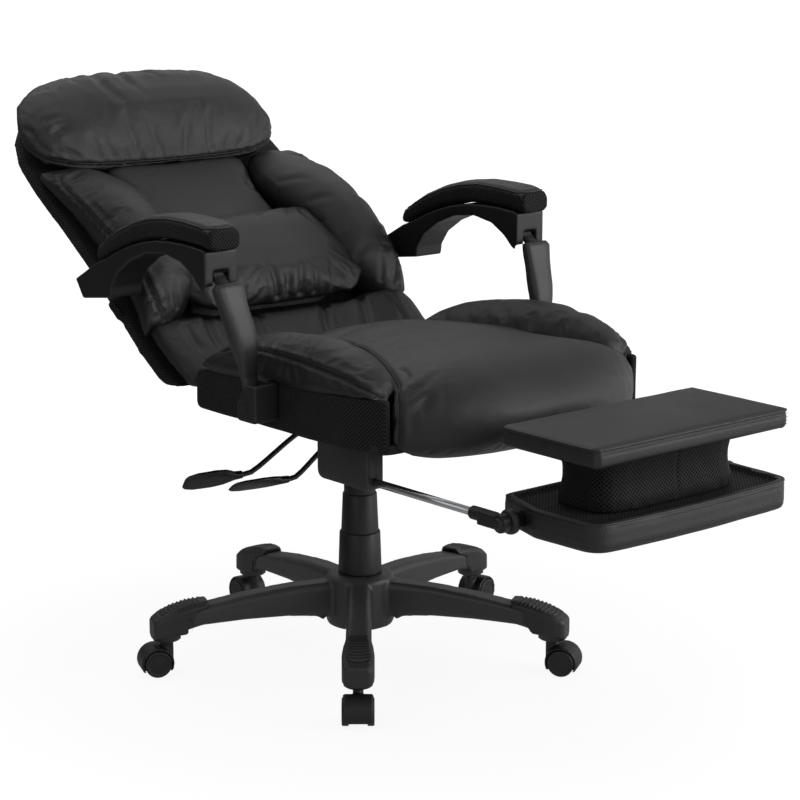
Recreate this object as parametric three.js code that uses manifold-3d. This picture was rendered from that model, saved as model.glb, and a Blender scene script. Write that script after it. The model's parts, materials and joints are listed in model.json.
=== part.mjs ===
// A reclining office chair with a fold-out footrest, shown reclined with the footrest out.
// Lengths are millimetres and angles are degrees. +Z is up, the sitter faces -Y,
// and +X is the sitter's left. The column stands at x = 0, y = 0 until the last lines.

import * as THREE from "three";
import { mergeVertices } from "three/addons/utils/BufferGeometryUtils.js";
import Module from "manifold-3d";

const wasm = await Module();
wasm.setup();

// Clearances
const SEAT_GAP = 0.3; // between pieces that rest on each other
const RUNNING_GAP = 0.4; // between a shaft or sleeve and what it runs in
const CUT_OVERRUN = 5; // how far a cutting body runs past the face it cuts

// Star base and its leg caps
const LEG_COUNT = 5;
const STAR_HEADING = 230;
const HUB_RADIUS = 53;
const HUB_HEIGHT = 81;
const HUB_ROUND = 6;
const HUB_DROP = 1; // hub underside below the caster collars
const LEG_REACH = 322;
const LEG_ROOT_WIDTH = 37;
const LEG_TIP_WIDTH = 40;
const LEG_ROOT_DEPTH = 58;
const LEG_TIP_DEPTH = 25;
const LEG_TOP_FALL = 42; // top of the leg, from the hub to the tip
const LEG_SHOULDER = 7; // hub rim above the leg's root
const CASTER_SET = 15; // caster's stem in from the leg's tip
const CASTER_COLLAR_RADIUS = 13;
const CAP_OVERHANG = 8; // cap's end beyond the leg's tip
const CAP_LENGTH = 87;
const CAP_SLANT = 24;
const CAP_STEP = 7;
const CAP_WIDTH = 49;
const CAP_WALL = 4;

// Casters
const WHEEL_RADIUS = 20.5;
const WHEEL_WIDTH = 10;
const WHEEL_EDGE = 1.6;
const WHEEL_SIDES = 16;
const WHEEL_WELL_GAP = 1.6; // between the wheels and the hood over them
const AXLE_RADIUS = 3;
const AXLE_TRAIL = 18; // wheel axle outward of the stem
const CASTER_WIDTH = 48;
const WEB_WIDTH = 26;
const HOOD_RADIUS = 25;
const HOOD_SILL = 9; // underside of the hood above the floor
const CASTER_HEIGHT = 51; // floor to the leg's collar
const STEM_RADIUS = 5.5;
const STEM_LENGTH = 24;
const STEM_BOSS_RADIUS = 10;

// Gas lift and its telescopic cover
const TUBE_RADIUS = 22.4;
const TUBE_HEIGHT = 178;
const TUBE_FLOOR = 13;
const PISTON_RADIUS = 14;
const PISTON_SPARE = 78; // free depth below the piston at the photographed height
const COVER_WALL = 1.5;
const LOWER_COVER_HEIGHT = 66;
const LOWER_COVER_TOP_RADIUS = 31.5;
const LOWER_COVER_FLARE = 2;
const MIDDLE_COVER_SHOWN = 61;
const MIDDLE_COVER_TOP_RADIUS = 26.4;
const MIDDLE_COVER_FLARE = 3.1;
const UPPER_COVER_SHOWN = 79;
const UPPER_COVER_RADIUS = 24.4;
const COVER_OVERLAP = 15;

// Mechanism under the seat, with the ears of the back hinge
const SOCKET_LENGTH = 10;
const SOCKET_RADIUS = 24;
const PISTON_SEAT = 35; // depth of the piston in the mechanism
const MECHANISM_HEIGHT = 71;
const MECHANISM_WIDTH = 140;
const MECHANISM_FRONT = 95;
const MECHANISM_REAR = 75;
const FLANGE_OVERHANG = 2; // flange's side outward of the ears
const FLANGE_THICKNESS = 8;
const HINGE_BACK = 120; // back hinge behind the column
const HINGE_RISE = 7; // back hinge above the pan's underside
const HINGE_PIN_RADIUS = 4.5;
const HINGE_EYE_RADIUS = 8.6;
const EAR_THICKNESS = 6;
const EAR_SPACING = 174;
const EAR_DROP = 43;
const EAR_HALF_DEPTH = 7;

// Seat
const PAN_THICKNESS = 12.7;
const PAN_INSET = 0.5; // pan's side in from the side panel's inner face
const PAN_REAR = 60;
const PAN_LENGTH = 409;
const PAN_CORNER = 30;
const SIDE_PANEL_THICKNESS = 12;
const SIDE_PANEL_REAR_HEIGHT = 60;
const SIDE_PANEL_FRONT_HEIGHT = 77;
const SIDE_PANEL_CORNER = 12;
const SEAT_WIDTH = 524;
const CUSHION_HEIGHT = 104; // over the pan, at the fullest place
const CUSHION_REAR_SET = 26; // cushion's rear end ahead of the pan's rear edge
const CUSHION_NOSE = 88; // cushion's front end ahead of the pan's front edge
const CUSHION_LIP = 16; // how far the nose reaches down over the pan's edge
const BOLSTER_HEIGHT = 120;
const BOLSTER_TUCK_SHARE = 0.04; // how far the bolster reaches in to be cut by the cushion
const CUSHION_SEAM_SHARE = 0.4; // widest line of the cushion's section, above its underside

// Rail guides and footrest rods
const ROD_RADIUS = 4.5;
const ROD_INSET = 41.5; // rod's axis in from the pan's side
const ROD_DROP = 54; // rod axis below the pan's underside
const ROD_REAR_FACE = 190; // rod's rear end ahead of the column
const GUIDE_WIDTH = 30;
const GUIDE_HEIGHT = 64;
const GUIDE_FRONT = 287;
const GUIDE_REAR = 177;
const GUIDE_ROUND = 14;

// Footrest
const KNUCKLE_REACH = 553; // knuckle axis ahead of the column
const KNUCKLE_RADIUS = 18;
const KNUCKLE_HALF_WIDTH = 12;
const KNUCKLE_FLANGE_RADIUS = 12.5;
const KNUCKLE_FACE_SET = 1.5; // flat of the ball half outward of the rod's axis
const SOCKET_SHANK_RADIUS = 9.5;
const SOCKET_SHANK_LENGTH = 48;
const SOCKET_LUG_RADIUS = 13;
const SOCKET_LUG_THICKNESS = 13;
const KNUCKLE_CAP_RADIUS = 7;
const KNUCKLE_CAP_HEIGHT = 4;
const TRAY_INSET = 16; // tray's side in from the rod's axis
const TRAY_REAR_SET = 50; // tray's rear edge behind the knuckle's axis
const TRAY_LENGTH = 200;
const TRAY_THICKNESS = 41;
const TRAY_SINK = 19; // tray's underside below the knuckle axis
const TRAY_CHAMFER_WIDTH = 25;
const TRAY_CHAMFER_LENGTH = 82;
const TRAY_CORNER = 30;
const TRAY_TAPER = 10;
const TRAY_EDGE = 4;
const NECK_WIDTH = 266;
const NECK_REAR_SET = 40;
const NECK_DEPTH = 116;
const NECK_HEIGHT = 68;
const NECK_WAIST = 6;
const BOARD_WIDTH = 367;
const BOARD_REAR_SET = 9;
const BOARD_DEPTH = 178;
const BOARD_THICKNESS = 28;
const BOARD_CORNER = 9;
const BOARD_EDGE = 4;

// Levers under the sitter's right side
const LEVER_PIVOT_RADIUS = 5.5;
const LEVER_PIVOT_DEPTH = 7; // pivot inside the mechanism's side wall
const LEVER_ROD_RADIUS = 4;
const LEVER_DROP = 41; // lever pivots below the pan's underside
const HEIGHT_LEVER_FORWARD = 0;
const RECLINE_LEVER_FORWARD = 65;
const HEIGHT_LEVER_REACH = 326;
const RECLINE_LEVER_REACH = 290;
const LEVER_FALL = 55;
const PADDLE_LENGTH = 102;
const PADDLE_WIDTH = 34;
const PADDLE_THICKNESS = 10;

// Arms: strut pivot in the bracket, arm pivot on the strut, tail stud on the back
const ARM_SET = 6; // arm's inner face outward of the seat's side
const ARM_WIDTH = 60;
const BRACKET_PIVOT_FORWARD = 115;
const BRACKET_PIVOT_RISE = 38; // above the pan's underside
const ARM_PIVOT_FORWARD = 46;
const ARM_PIVOT_RISE = 214;
const TAIL_STUD_BACK = 243;
const TAIL_STUD_RISE = 159;
const TAIL_STUD_RADIUS = 4;
const TAIL_STUD_PLAY = 3.5;
const TAIL_STUD_LENGTH = 17;
const TAIL_PLATE_WIDTH = 34;
const TAIL_PLATE_THICKNESS = 3.2;
const BRACKET_WIDTH = 43;
const BRACKET_WALL = 5;
const BRACKET_FRONT_WALL = 3;
const BRACKET_TOP_RISE = 32;
const BRACKET_BOTTOM_DROP = 22;
const BRACKET_FRONT_REACH = 27;
const BRACKET_REAR_REACH = 15;
const BRACKET_PIN_RADIUS = 5;
const STRUT_EYE_RADIUS = 11;
const STRUT_LOWER_WIDTH = 26;
const STRUT_INNER_SET = 3; // strut's inner edge from the arm's inner face
const STRUT_UPPER_WIDTH = 52;
const STRUT_DEPTH = 20;
const STRUT_NECK_WIDTH = 20;
const STRUT_NECK_DEPTH = 11;
const STRUT_TOP_EYE_RADIUS = 8;
const STRUT_BOW = 12;
const ARM_PIN_RADIUS = 3;
const ARM_LENGTH = 320;
const CUP_WALL = 6;
const CUP_DEPTH = 46;
const PAD_LENGTH = 298;
const PAD_NOSE = 12; // pad ahead of the arm's front face
const ARM_FACE_FORWARD = 13; // arm's front face ahead of its pivot
const ARM_HEIGHT = 40; // unit of the arm outline's heights over its pivot
const ARM_SILL_SHARE = 0.3; // opening in the arm's front face, below its pivot
const ARM_PAD_SEAM_SHARE = 0.45;
const STRUT_BODY_SHARE = 0.97; // strut's body along the line of its two pivots
const STRUT_NECK_START_SHARE = 0.86;
const STRUT_NECK_BOW_SHARE = 1.6;

// Back, in its own frame: x, forward of the hinge (n), and up along the back (u)
const BACK_ELEVATION = 36; // back above the horizontal, reclined
const BACK_LENGTH = 645;
const BACK_INSET = 5; // back's side in from the seat's side
const SHELL_THICKNESS = 29;
const SHELL_REAR = 18; // shell's rear face behind the hinge line
const SHELL_HOLLOW = 10; // how far the shell's middle lies behind its sides
const SHELL_FOOT_RISE = 11; // flat foot of the shell above the hinge axis
const BACK_PLATE_THICKNESS = 4;
const BACK_PLATE_DEPTH = 40;
const BACK_EYE_THICKNESS = 8;
const BACK_EYE_PLAY = 2; // between the back's eyes and the ears
const PAD_TUCK = 3; // how far the pads reach into the shell before it cuts them
const CENTRE_PANEL_INSET = 92; // centre panel's side in from the back's side
const CENTRE_PANEL_BOTTOM = 100;
const CENTRE_PANEL_TOP = 560;
const CENTRE_PANEL_THICKNESS = 34;
const LOWER_PANEL_INSET = 9; // lower panel's side in from the back's side
const LOWER_PANEL_TOP = 126;
const LOWER_PANEL_THICKNESS = 42;
const LOWER_PANEL_SKIRT = 14; // lower panel below the shell's foot, in front of it
const WING_BOTTOM = 112;
const WING_TOP = 470;
const WING_THICKNESS = 96;
const WING_WIDTH = 112;
const LUMBAR_BOTTOM = 108;
const LUMBAR_HEIGHT = 180;
const LUMBAR_INSET = 98; // lumbar pillow's side in from the back's side
const LUMBAR_THICKNESS = 58;
const HEAD_BOTTOM = 463;
const HEAD_HEIGHT = 187;
const HEAD_INSET = 22; // head pillow's side in from the back's side
const HEAD_THICKNESS = 84;
const PILLOW_SEAM_SHARE = 0.35;
const WING_SEAM_SHARE = 0.4;
const LUMBAR_REST_SHARE = 0.6; // lumbar pillow's rear face within the centre panel's thickness
const TAIL_FOOT_SHARE = 0.9; // inner end of the tail plate's foot, of the seat's half width

// Heights worked out from the floor up
const hubBottom = CASTER_HEIGHT - HUB_DROP;
const hubTop = hubBottom + HUB_HEIGHT;
const lowerCoverTop = hubTop + LOWER_COVER_HEIGHT;
const middleCoverTop = lowerCoverTop + MIDDLE_COVER_SHOWN;
const socketBottom = middleCoverTop + UPPER_COVER_SHOWN;
const panBottom = socketBottom + SOCKET_LENGTH + MECHANISM_HEIGHT;
const panTop = panBottom + PAN_THICKNESS;
const panFront = PAN_REAR - PAN_LENGTH;
const rodHeight = panBottom - ROD_DROP;
const hinge = new THREE.Vector3(0, HINGE_BACK, panBottom + HINGE_RISE);

// Places along the legs and the footrest, and widths that follow the seat and the hinge ears
const casterReach = LEG_REACH - CASTER_SET;
const capEnd = LEG_REACH + CAP_OVERHANG;
const capStart = capEnd - CAP_LENGTH;
const trayRear = KNUCKLE_REACH - TRAY_REAR_SET;
const panWidth = SEAT_WIDTH - 2 * (SIDE_PANEL_THICKNESS + PAN_INSET);
const backWidth = SEAT_WIDTH - 2 * BACK_INSET;
const lowerPanelWidth = backWidth - 2 * LOWER_PANEL_INSET;
const centrePanelWidth = backWidth - 2 * CENTRE_PANEL_INSET;
const lumbarWidth = backWidth - 2 * LUMBAR_INSET;
const headWidth = backWidth - 2 * HEAD_INSET;
const rodSpacing = panWidth - 2 * ROD_INSET;
const trayWidth = rodSpacing - 2 * TRAY_INSET;
const armInner = SEAT_WIDTH / 2 + ARM_SET;
const armMiddle = armInner + ARM_WIDTH / 2;
const flangeWidth = EAR_SPACING + EAR_THICKNESS + 2 * FLANGE_OVERHANG;
const backEyeSpacing = EAR_SPACING - EAR_THICKNESS - BACK_EYE_THICKNESS - 2 * BACK_EYE_PLAY;

// Materials
function paint(color, roughness, metalness) {
  return new THREE.MeshStandardMaterial({ color, roughness, metalness });
}
const leather = paint(0x17171a, 0.42, 0);
const meshCloth = paint(0x1c1c1e, 0.85, 0);
const plastic = paint(0x1f2022, 0.5, 0);
const darkPlastic = paint(0x161617, 0.6, 0);
const steel = paint(0x202022, 0.45, 0.6);
const chrome = paint(0xc8ccd0, 0.12, 1);
const plywood = paint(0x2a2622, 0.8, 0);

// Small tools for building solids
function clean(geometry) {
  const bare = geometry.index ? geometry : mergeVertices(geometry);
  bare.deleteAttribute("normal");
  bare.deleteAttribute("uv");
  return mergeVertices(bare, 1e-3);
}

function solid(geometry) {
  const g = clean(geometry);
  return new wasm.Manifold(
    new wasm.Mesh({
      numProp: 3,
      vertProperties: new Float32Array(g.attributes.position.array),
      triVerts: new Uint32Array(g.index.array),
    }),
  );
}

function geometryOf(body) {
  const made = body.getMesh();
  const count = made.vertProperties.length / made.numProp;
  const positions = new Float32Array(count * 3);
  for (let i = 0; i < count; i++) {
    const start = i * made.numProp;
    positions.set(made.vertProperties.subarray(start, start + 3), i * 3);
  }
  const g = new THREE.BufferGeometry();
  g.setAttribute("position", new THREE.BufferAttribute(positions, 3));
  g.setIndex(new THREE.BufferAttribute(new Uint32Array(made.triVerts), 1));
  return g;
}

function join(...bodies) {
  return bodies.reduce((all, body) => all.add(body));
}

function cut(body, ...tools) {
  return tools.reduce((left, tool) => left.subtract(tool), body);
}

// A closed skin over rings of equal point counts, turned to face outwards.
function loft(rings) {
  const count = rings[0].length;
  const points = rings.flat();
  const faces = [];
  for (let i = 0; i + 1 < rings.length; i++) {
    for (let j = 0; j < count; j++) {
      const a = i * count + j;
      const b = i * count + ((j + 1) % count);
      faces.push([a, b, b + count], [a, b + count, a + count]);
    }
  }
  for (const [ring, start] of [
    [rings[0], 0],
    [rings.at(-1), (rings.length - 1) * count],
  ]) {
    const middle = new THREE.Vector3();
    ring.forEach((p) => middle.add(p));
    points.push(middle.divideScalar(count));
    for (let j = 0; j < count; j++) {
      const face = [points.length - 1, start + ((j + 1) % count), start + j];
      faces.push(start ? face.reverse() : face);
    }
  }
  let volume = 0;
  const side = new THREE.Vector3();
  for (const [a, b, c] of faces) {
    volume += points[a].dot(side.crossVectors(points[b], points[c]));
  }
  if (volume < 0) faces.forEach((face) => face.reverse());
  const g = new THREE.BufferGeometry();
  g.setAttribute(
    "position",
    new THREE.Float32BufferAttribute(points.flatMap((p) => [p.x, p.y, p.z]), 3),
  );
  g.setIndex(faces.flat());
  return g;
}

// A smooth value that passes through rows of [place, value].
function smooth(rows) {
  return (at) => {
    const last = rows.length - 1;
    let i = 0;
    while (i < last - 1 && at > rows[i + 1][0]) i++;
    const slope = (k) => {
      const a = rows[Math.max(k - 1, 0)];
      const b = rows[Math.min(k + 1, last)];
      return (b[1] - a[1]) / (b[0] - a[0]);
    };
    const [x0, y0] = rows[i];
    const [x1, y1] = rows[i + 1];
    const span = x1 - x0;
    const t = THREE.MathUtils.clamp((at - x0) / span, 0, 1);
    const rise = t * t * (3 - 2 * t);
    const leave = t * (1 - t) * (1 - t) * span * slope(i);
    const reach = t * t * (t - 1) * span * slope(i + 1);
    return y0 + (y1 - y0) * rise + leave + reach;
  };
}

// Points round a rounded rectangle: higher powers give squarer corners.
function oval(halfWidth, halfHeight, power, count, lowPower = power) {
  const points = [];
  for (let i = 0; i < count; i++) {
    const angle = (2 * Math.PI * (i + 0.5)) / count;
    const c = Math.cos(angle);
    const s = Math.sin(angle);
    const bend = 2 / (s < 0 ? lowPower : power);
    points.push([
      halfWidth * Math.sign(c) * Math.abs(c) ** bend,
      halfHeight * Math.sign(s) * Math.abs(s) ** bend,
    ]);
  }
  return points;
}

// The section of a pad between two heights, widest at its seam
function padded(halfWidth, low, high, seamShare, count, power, lowPower = power) {
  const seam = THREE.MathUtils.lerp(low, high, seamShare);
  return oval(halfWidth, 1, power, count, lowPower).map(([x, z]) => [
    x,
    seam + z * (z > 0 ? high - seam : seam - low),
  ]);
}

function shapeOf(points) {
  return new THREE.Shape(points.map(([a, b]) => new THREE.Vector2(a, b)));
}

// A shape drawn in (y, z), with a thickness along x from one side to the other.
function slabX(shape, from, to, edge = 0) {
  const depth = Math.abs(to - from);
  const g = extruded(shape, depth, edge);
  const turn = new THREE.Matrix4().makeBasis(
    new THREE.Vector3(0, 1, 0),
    new THREE.Vector3(0, 0, 1),
    new THREE.Vector3(1, 0, 0),
  );
  return g.applyMatrix4(turn).translate(Math.min(from, to), 0, 0);
}

// A shape drawn in (x, y), with a thickness along z.
function slabZ(shape, from, to, edge = 0) {
  return extruded(shape, to - from, edge).translate(0, 0, from);
}

// The outline is drawn at its full size: the bevel goes inwards.
function extruded(shape, depth, edge) {
  if (!edge) {
    return new THREE.ExtrudeGeometry(shape, { depth, bevelEnabled: false, curveSegments: 6 });
  }
  return new THREE.ExtrudeGeometry(shape, {
    depth: depth - 2 * edge,
    bevelThickness: edge,
    bevelSize: edge,
    bevelOffset: -edge,
    bevelSegments: 1,
    curveSegments: 6,
  }).translate(0, 0, edge);
}

function rod(from, to, radius, sides = 14) {
  const line = new THREE.Vector3().subVectors(to, from);
  const g = new THREE.CylinderGeometry(radius, radius, line.length(), sides);
  const turn = new THREE.Quaternion().setFromUnitVectors(
    new THREE.Vector3(0, 1, 0),
    line.clone().normalize(),
  );
  return g.applyQuaternion(turn).translate(
    (from.x + to.x) / 2,
    (from.y + to.y) / 2,
    (from.z + to.z) / 2,
  );
}

function point(x, y, z) {
  return new THREE.Vector3(x, y, z);
}

function block(low, high) {
  const size = new THREE.Vector3().subVectors(high, low);
  const middle = new THREE.Vector3().addVectors(low, high).divideScalar(2);
  return new THREE.BoxGeometry(size.x, size.y, size.z).translate(middle.x, middle.y, middle.z);
}

// Profile rows are [radius, height], from the axis round to the axis or closed on themselves.
function turned(rows, sides = 22) {
  return new THREE.LatheGeometry(rows.map(([r, z]) => new THREE.Vector2(r, z)), sides)
    .rotateX(Math.PI / 2);
}

// The skin moved outwards by a gap, to cut a neighbour clear of it
function grown(geometry, gap) {
  const g = clean(geometry.clone());
  g.computeVertexNormals();
  const place = g.attributes.position;
  const normal = g.attributes.normal;
  for (let i = 0; i < place.count; i++) {
    place.setXYZ(
      i,
      place.getX(i) + normal.getX(i) * gap,
      place.getY(i) + normal.getY(i) * gap,
      place.getZ(i) + normal.getZ(i) * gap,
    );
  }
  return g;
}

function largest(body) {
  return body.decompose().sort((a, b) => b.volume() - a.volume())[0];
}

const chair = new THREE.Group();

function add(name, shape, material, group = chair) {
  const geometry = shape.isBufferGeometry ? clean(shape) : geometryOf(shape);
  const mesh = new THREE.Mesh(geometry, material);
  mesh.name = name;
  group.add(mesh);
  return mesh;
}

// Both sides of the chair: +1 is the sitter's left, -1 the right.
const SIDES = [
  ["l", 1],
  ["r", -1],
];

function mirrored(geometry, side) {
  if (side > 0) return geometry;
  const g = clean(geometry.clone()).scale(-1, 1, 1);
  const faces = g.index.array;
  for (let i = 0; i < faces.length; i += 3) {
    [faces[i], faces[i + 1]] = [faces[i + 1], faces[i]];
  }
  return g;
}

// One leg of the star, along +X, as rings across it. Grown by a clearance, it cuts the caps.
const legPlaceShares = [0, 0.17, 0.37, 0.58, 0.79, 1];
const legFallShares = [
  [0, 0],
  [0.34, 0.06],
  [0.5, 0.17],
  [0.75, 0.45],
  [0.9, 0.74],
  [1, 1],
];
const legDepthShares = [
  [0, 1],
  [0.16, 0.99],
  [0.43, 0.62],
  [0.6, 0.4],
  [0.78, 0.16],
  [0.9, 0.02],
  [1, 0],
];

// Height of the leg's top at a place along it
function legTop(reach) {
  const rows = legFallShares.map(([along, down]) => [along * LEG_REACH, down * LEG_TOP_FALL]);
  return hubTop - LEG_SHOULDER - smooth(rows)(reach);
}

function legRings(grow, sink) {
  const depth = smooth(legDepthShares);
  return legPlaceShares.map((share) => {
    const reach = share * LEG_REACH + (share === 1 ? grow : 0);
    const top = legTop(share * LEG_REACH) + grow;
    const height = LEG_TIP_DEPTH + (LEG_ROOT_DEPTH - LEG_TIP_DEPTH) * depth(share) + grow + sink;
    const width = THREE.MathUtils.lerp(LEG_ROOT_WIDTH, LEG_TIP_WIDTH, share) + 2 * grow;
    return oval(width / 2, height / 2, 5, 8).map(([y, z]) =>
      point(reach, y, top - height / 2 + z),
    );
  });
}

function starBase() {
  const hub = turned([
    [TUBE_RADIUS + SEAT_GAP, hubBottom],
    [HUB_RADIUS - HUB_ROUND / 2, hubBottom],
    [HUB_RADIUS, hubBottom + HUB_ROUND],
    [HUB_RADIUS, hubTop - HUB_ROUND],
    [HUB_RADIUS - HUB_ROUND, hubTop],
    [TUBE_RADIUS + SEAT_GAP, hubTop],
    [TUBE_RADIUS + SEAT_GAP, hubBottom],
  ]);
  let body = solid(hub);
  const wells = [];
  for (let i = 0; i < LEG_COUNT; i++) {
    const turn = legTurn(i);
    const collar = rod(
      point(casterReach, 0, CASTER_HEIGHT),
      point(casterReach, 0, CASTER_HEIGHT + LEG_TIP_DEPTH),
      CASTER_COLLAR_RADIUS,
    );
    const well = rod(
      point(casterReach, 0, CASTER_HEIGHT - CUT_OVERRUN),
      point(casterReach, 0, CASTER_HEIGHT + STEM_LENGTH),
      STEM_RADIUS + RUNNING_GAP,
      12,
    );
    body = join(body, solid(loft(legRings(0, 0)).rotateZ(turn)), solid(collar.rotateZ(turn)));
    wells.push(solid(well.rotateZ(turn)));
  }
  const bore = rod(
    point(0, 0, hubBottom - CUT_OVERRUN),
    point(0, 0, hubTop + CUT_OVERRUN),
    TUBE_RADIUS + SEAT_GAP,
    24,
  );
  return cut(body, solid(bore), ...wells);
}

function legTurn(index) {
  return THREE.MathUtils.degToRad(STAR_HEADING + (index * 360) / LEG_COUNT);
}

// Rows of [share of the cap's length, width share, fall share]
const capRowShares = [
  [0, 0.78, 0],
  [0.12, 0.82, 0.0],
  [0.35, 0.92, 0.08],
  [0.6, 1, 0.3],
  [0.82, 0.98, 0.62],
  [0.95, 0.86, 0.88],
  [1, 0.7, 1],
];

function legCap() {
  const startTop = legTop(capStart) + CAP_STEP;
  const endTop = legTop(LEG_REACH) + CAP_WALL;
  const bottom = CASTER_HEIGHT + CAP_WALL;
  const rings = capRowShares.map(([share, widthShare, fallShare]) => {
    const top = THREE.MathUtils.lerp(startTop, endTop, fallShare);
    const height = top - bottom;
    const slant = CAP_SLANT * (1 - share);
    return oval((CAP_WIDTH * widthShare) / 2, height / 2, 5, 8).map(([y, z]) => {
      const x = THREE.MathUtils.lerp(capStart, capEnd, share) + slant * (0.5 - z / height);
      return point(x, y, bottom + height / 2 + z);
    });
  });
  const collar = rod(
    point(casterReach, 0, CASTER_HEIGHT - CUT_OVERRUN),
    point(casterReach, 0, CASTER_HEIGHT + LEG_TIP_DEPTH),
    CASTER_COLLAR_RADIUS + SEAT_GAP,
  );
  const inside = [0, CASTER_HEIGHT].map((sink) => solid(loft(legRings(SEAT_GAP, sink))));
  return cut(solid(loft(rings)), ...inside, solid(collar));
}

// A caster, with its stem on the Z axis and its wheels trailing along +X
function casterHousing() {
  const axle = WHEEL_RADIUS;
  const hood = new THREE.Shape();
  const sillAngle = Math.asin((HOOD_SILL - axle) / HOOD_RADIUS);
  hood.absarc(AXLE_TRAIL, axle, HOOD_RADIUS, sillAngle, Math.PI - sillAngle, false);
  const across = new THREE.ExtrudeGeometry(hood, {
    depth: CASTER_WIDTH,
    bevelEnabled: false,
    curveSegments: 12,
  })
    .rotateX(Math.PI / 2)
    .translate(0, CASTER_WIDTH / 2, 0);
  const boss = rod(point(0, 0, axle), point(0, 0, CASTER_HEIGHT - SEAT_GAP), STEM_BOSS_RADIUS);
  const stemTop = CASTER_HEIGHT + STEM_LENGTH - SEAT_GAP;
  const stem = rod(point(0, 0, axle), point(0, 0, stemTop), STEM_RADIUS, 12);
  const wells = [1, -1].map((way) =>
    solid(
      rod(
        point(AXLE_TRAIL, (way * WEB_WIDTH) / 2, axle),
        point(AXLE_TRAIL, way * (CASTER_WIDTH / 2 + CUT_OVERRUN), axle),
        WHEEL_RADIUS + WHEEL_WELL_GAP,
        WHEEL_SIDES,
      ),
    ),
  );
  const bore = rod(
    point(AXLE_TRAIL, -CASTER_WIDTH, axle),
    point(AXLE_TRAIL, CASTER_WIDTH, axle),
    AXLE_RADIUS + RUNNING_GAP,
    10,
  );
  return cut(join(solid(across), solid(boss)), ...wells, solid(bore)).add(solid(stem));
}

// Each wheel rests on one of its flats.
function casterWheels() {
  const inner = WEB_WIDTH / 2 + RUNNING_GAP;
  const outer = inner + WHEEL_WIDTH;
  const halfSide = Math.PI / WHEEL_SIDES;
  const rim = WHEEL_RADIUS / Math.cos(halfSide);
  const half = [
    [AXLE_RADIUS, inner],
    [rim, inner],
    [rim, outer - WHEEL_EDGE],
    [rim - WHEEL_EDGE, outer],
    [0, outer],
  ];
  const rows = [...half.map(([r, z]) => [r, -z]).reverse(), ...half];
  return turned(rows, WHEEL_SIDES)
    .rotateX(Math.PI / 2)
    .rotateY(halfSide)
    .translate(AXLE_TRAIL, 0, WHEEL_RADIUS);
}

function buildBase() {
  add("star_base", starBase(), plastic);
  for (let i = 0; i < LEG_COUNT; i++) {
    const leg = new THREE.Group();
    leg.rotation.z = legTurn(i);
    chair.add(leg);
    add(`leg_cap_${i + 1}`, legCap(), darkPlastic, leg);
    const caster = new THREE.Group();
    caster.position.x = casterReach;
    leg.add(caster);
    add(`caster_housing_${i + 1}`, casterHousing(), darkPlastic, caster);
    add(`caster_wheels_${i + 1}`, casterWheels(), darkPlastic, caster);
  }
}

// A sleeve open at both ends, wider at its foot
function sleeve(bottom, top, topRadius, flare) {
  return turned([
    [topRadius + flare - COVER_WALL, bottom],
    [topRadius + flare, bottom],
    [topRadius, top],
    [topRadius - COVER_WALL, top],
    [topRadius + flare - COVER_WALL, bottom],
  ]);
}

function buildColumn() {
  const tubeTop = hubBottom + TUBE_HEIGHT;
  const tubeBore = PISTON_RADIUS + RUNNING_GAP;
  const tube = turned([
    [0, hubBottom],
    [TUBE_RADIUS, hubBottom],
    [TUBE_RADIUS, tubeTop],
    [tubeBore, tubeTop],
    [tubeBore, hubBottom + TUBE_FLOOR],
    [0, hubBottom + TUBE_FLOOR],
  ]);
  add("gas_lift_tube", tube, steel);
  const pistonBottom = hubBottom + TUBE_FLOOR + PISTON_SPARE + COVER_OVERLAP;
  const pistonTop = socketBottom + PISTON_SEAT - SEAT_GAP;
  const piston = rod(point(0, 0, pistonBottom), point(0, 0, pistonTop), PISTON_RADIUS, 24);
  add("gas_piston", piston, chrome);
  const covers = {
    lower: [hubTop + SEAT_GAP, lowerCoverTop, LOWER_COVER_TOP_RADIUS, LOWER_COVER_FLARE],
    middle: [
      lowerCoverTop - COVER_OVERLAP,
      middleCoverTop,
      MIDDLE_COVER_TOP_RADIUS,
      MIDDLE_COVER_FLARE,
    ],
    upper: [middleCoverTop - COVER_OVERLAP, socketBottom - SEAT_GAP, UPPER_COVER_RADIUS, 0],
  };
  for (const [name, sizes] of Object.entries(covers)) {
    add(`dust_cover_${name}`, sleeve(...sizes), plastic);
  }
}

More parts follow.
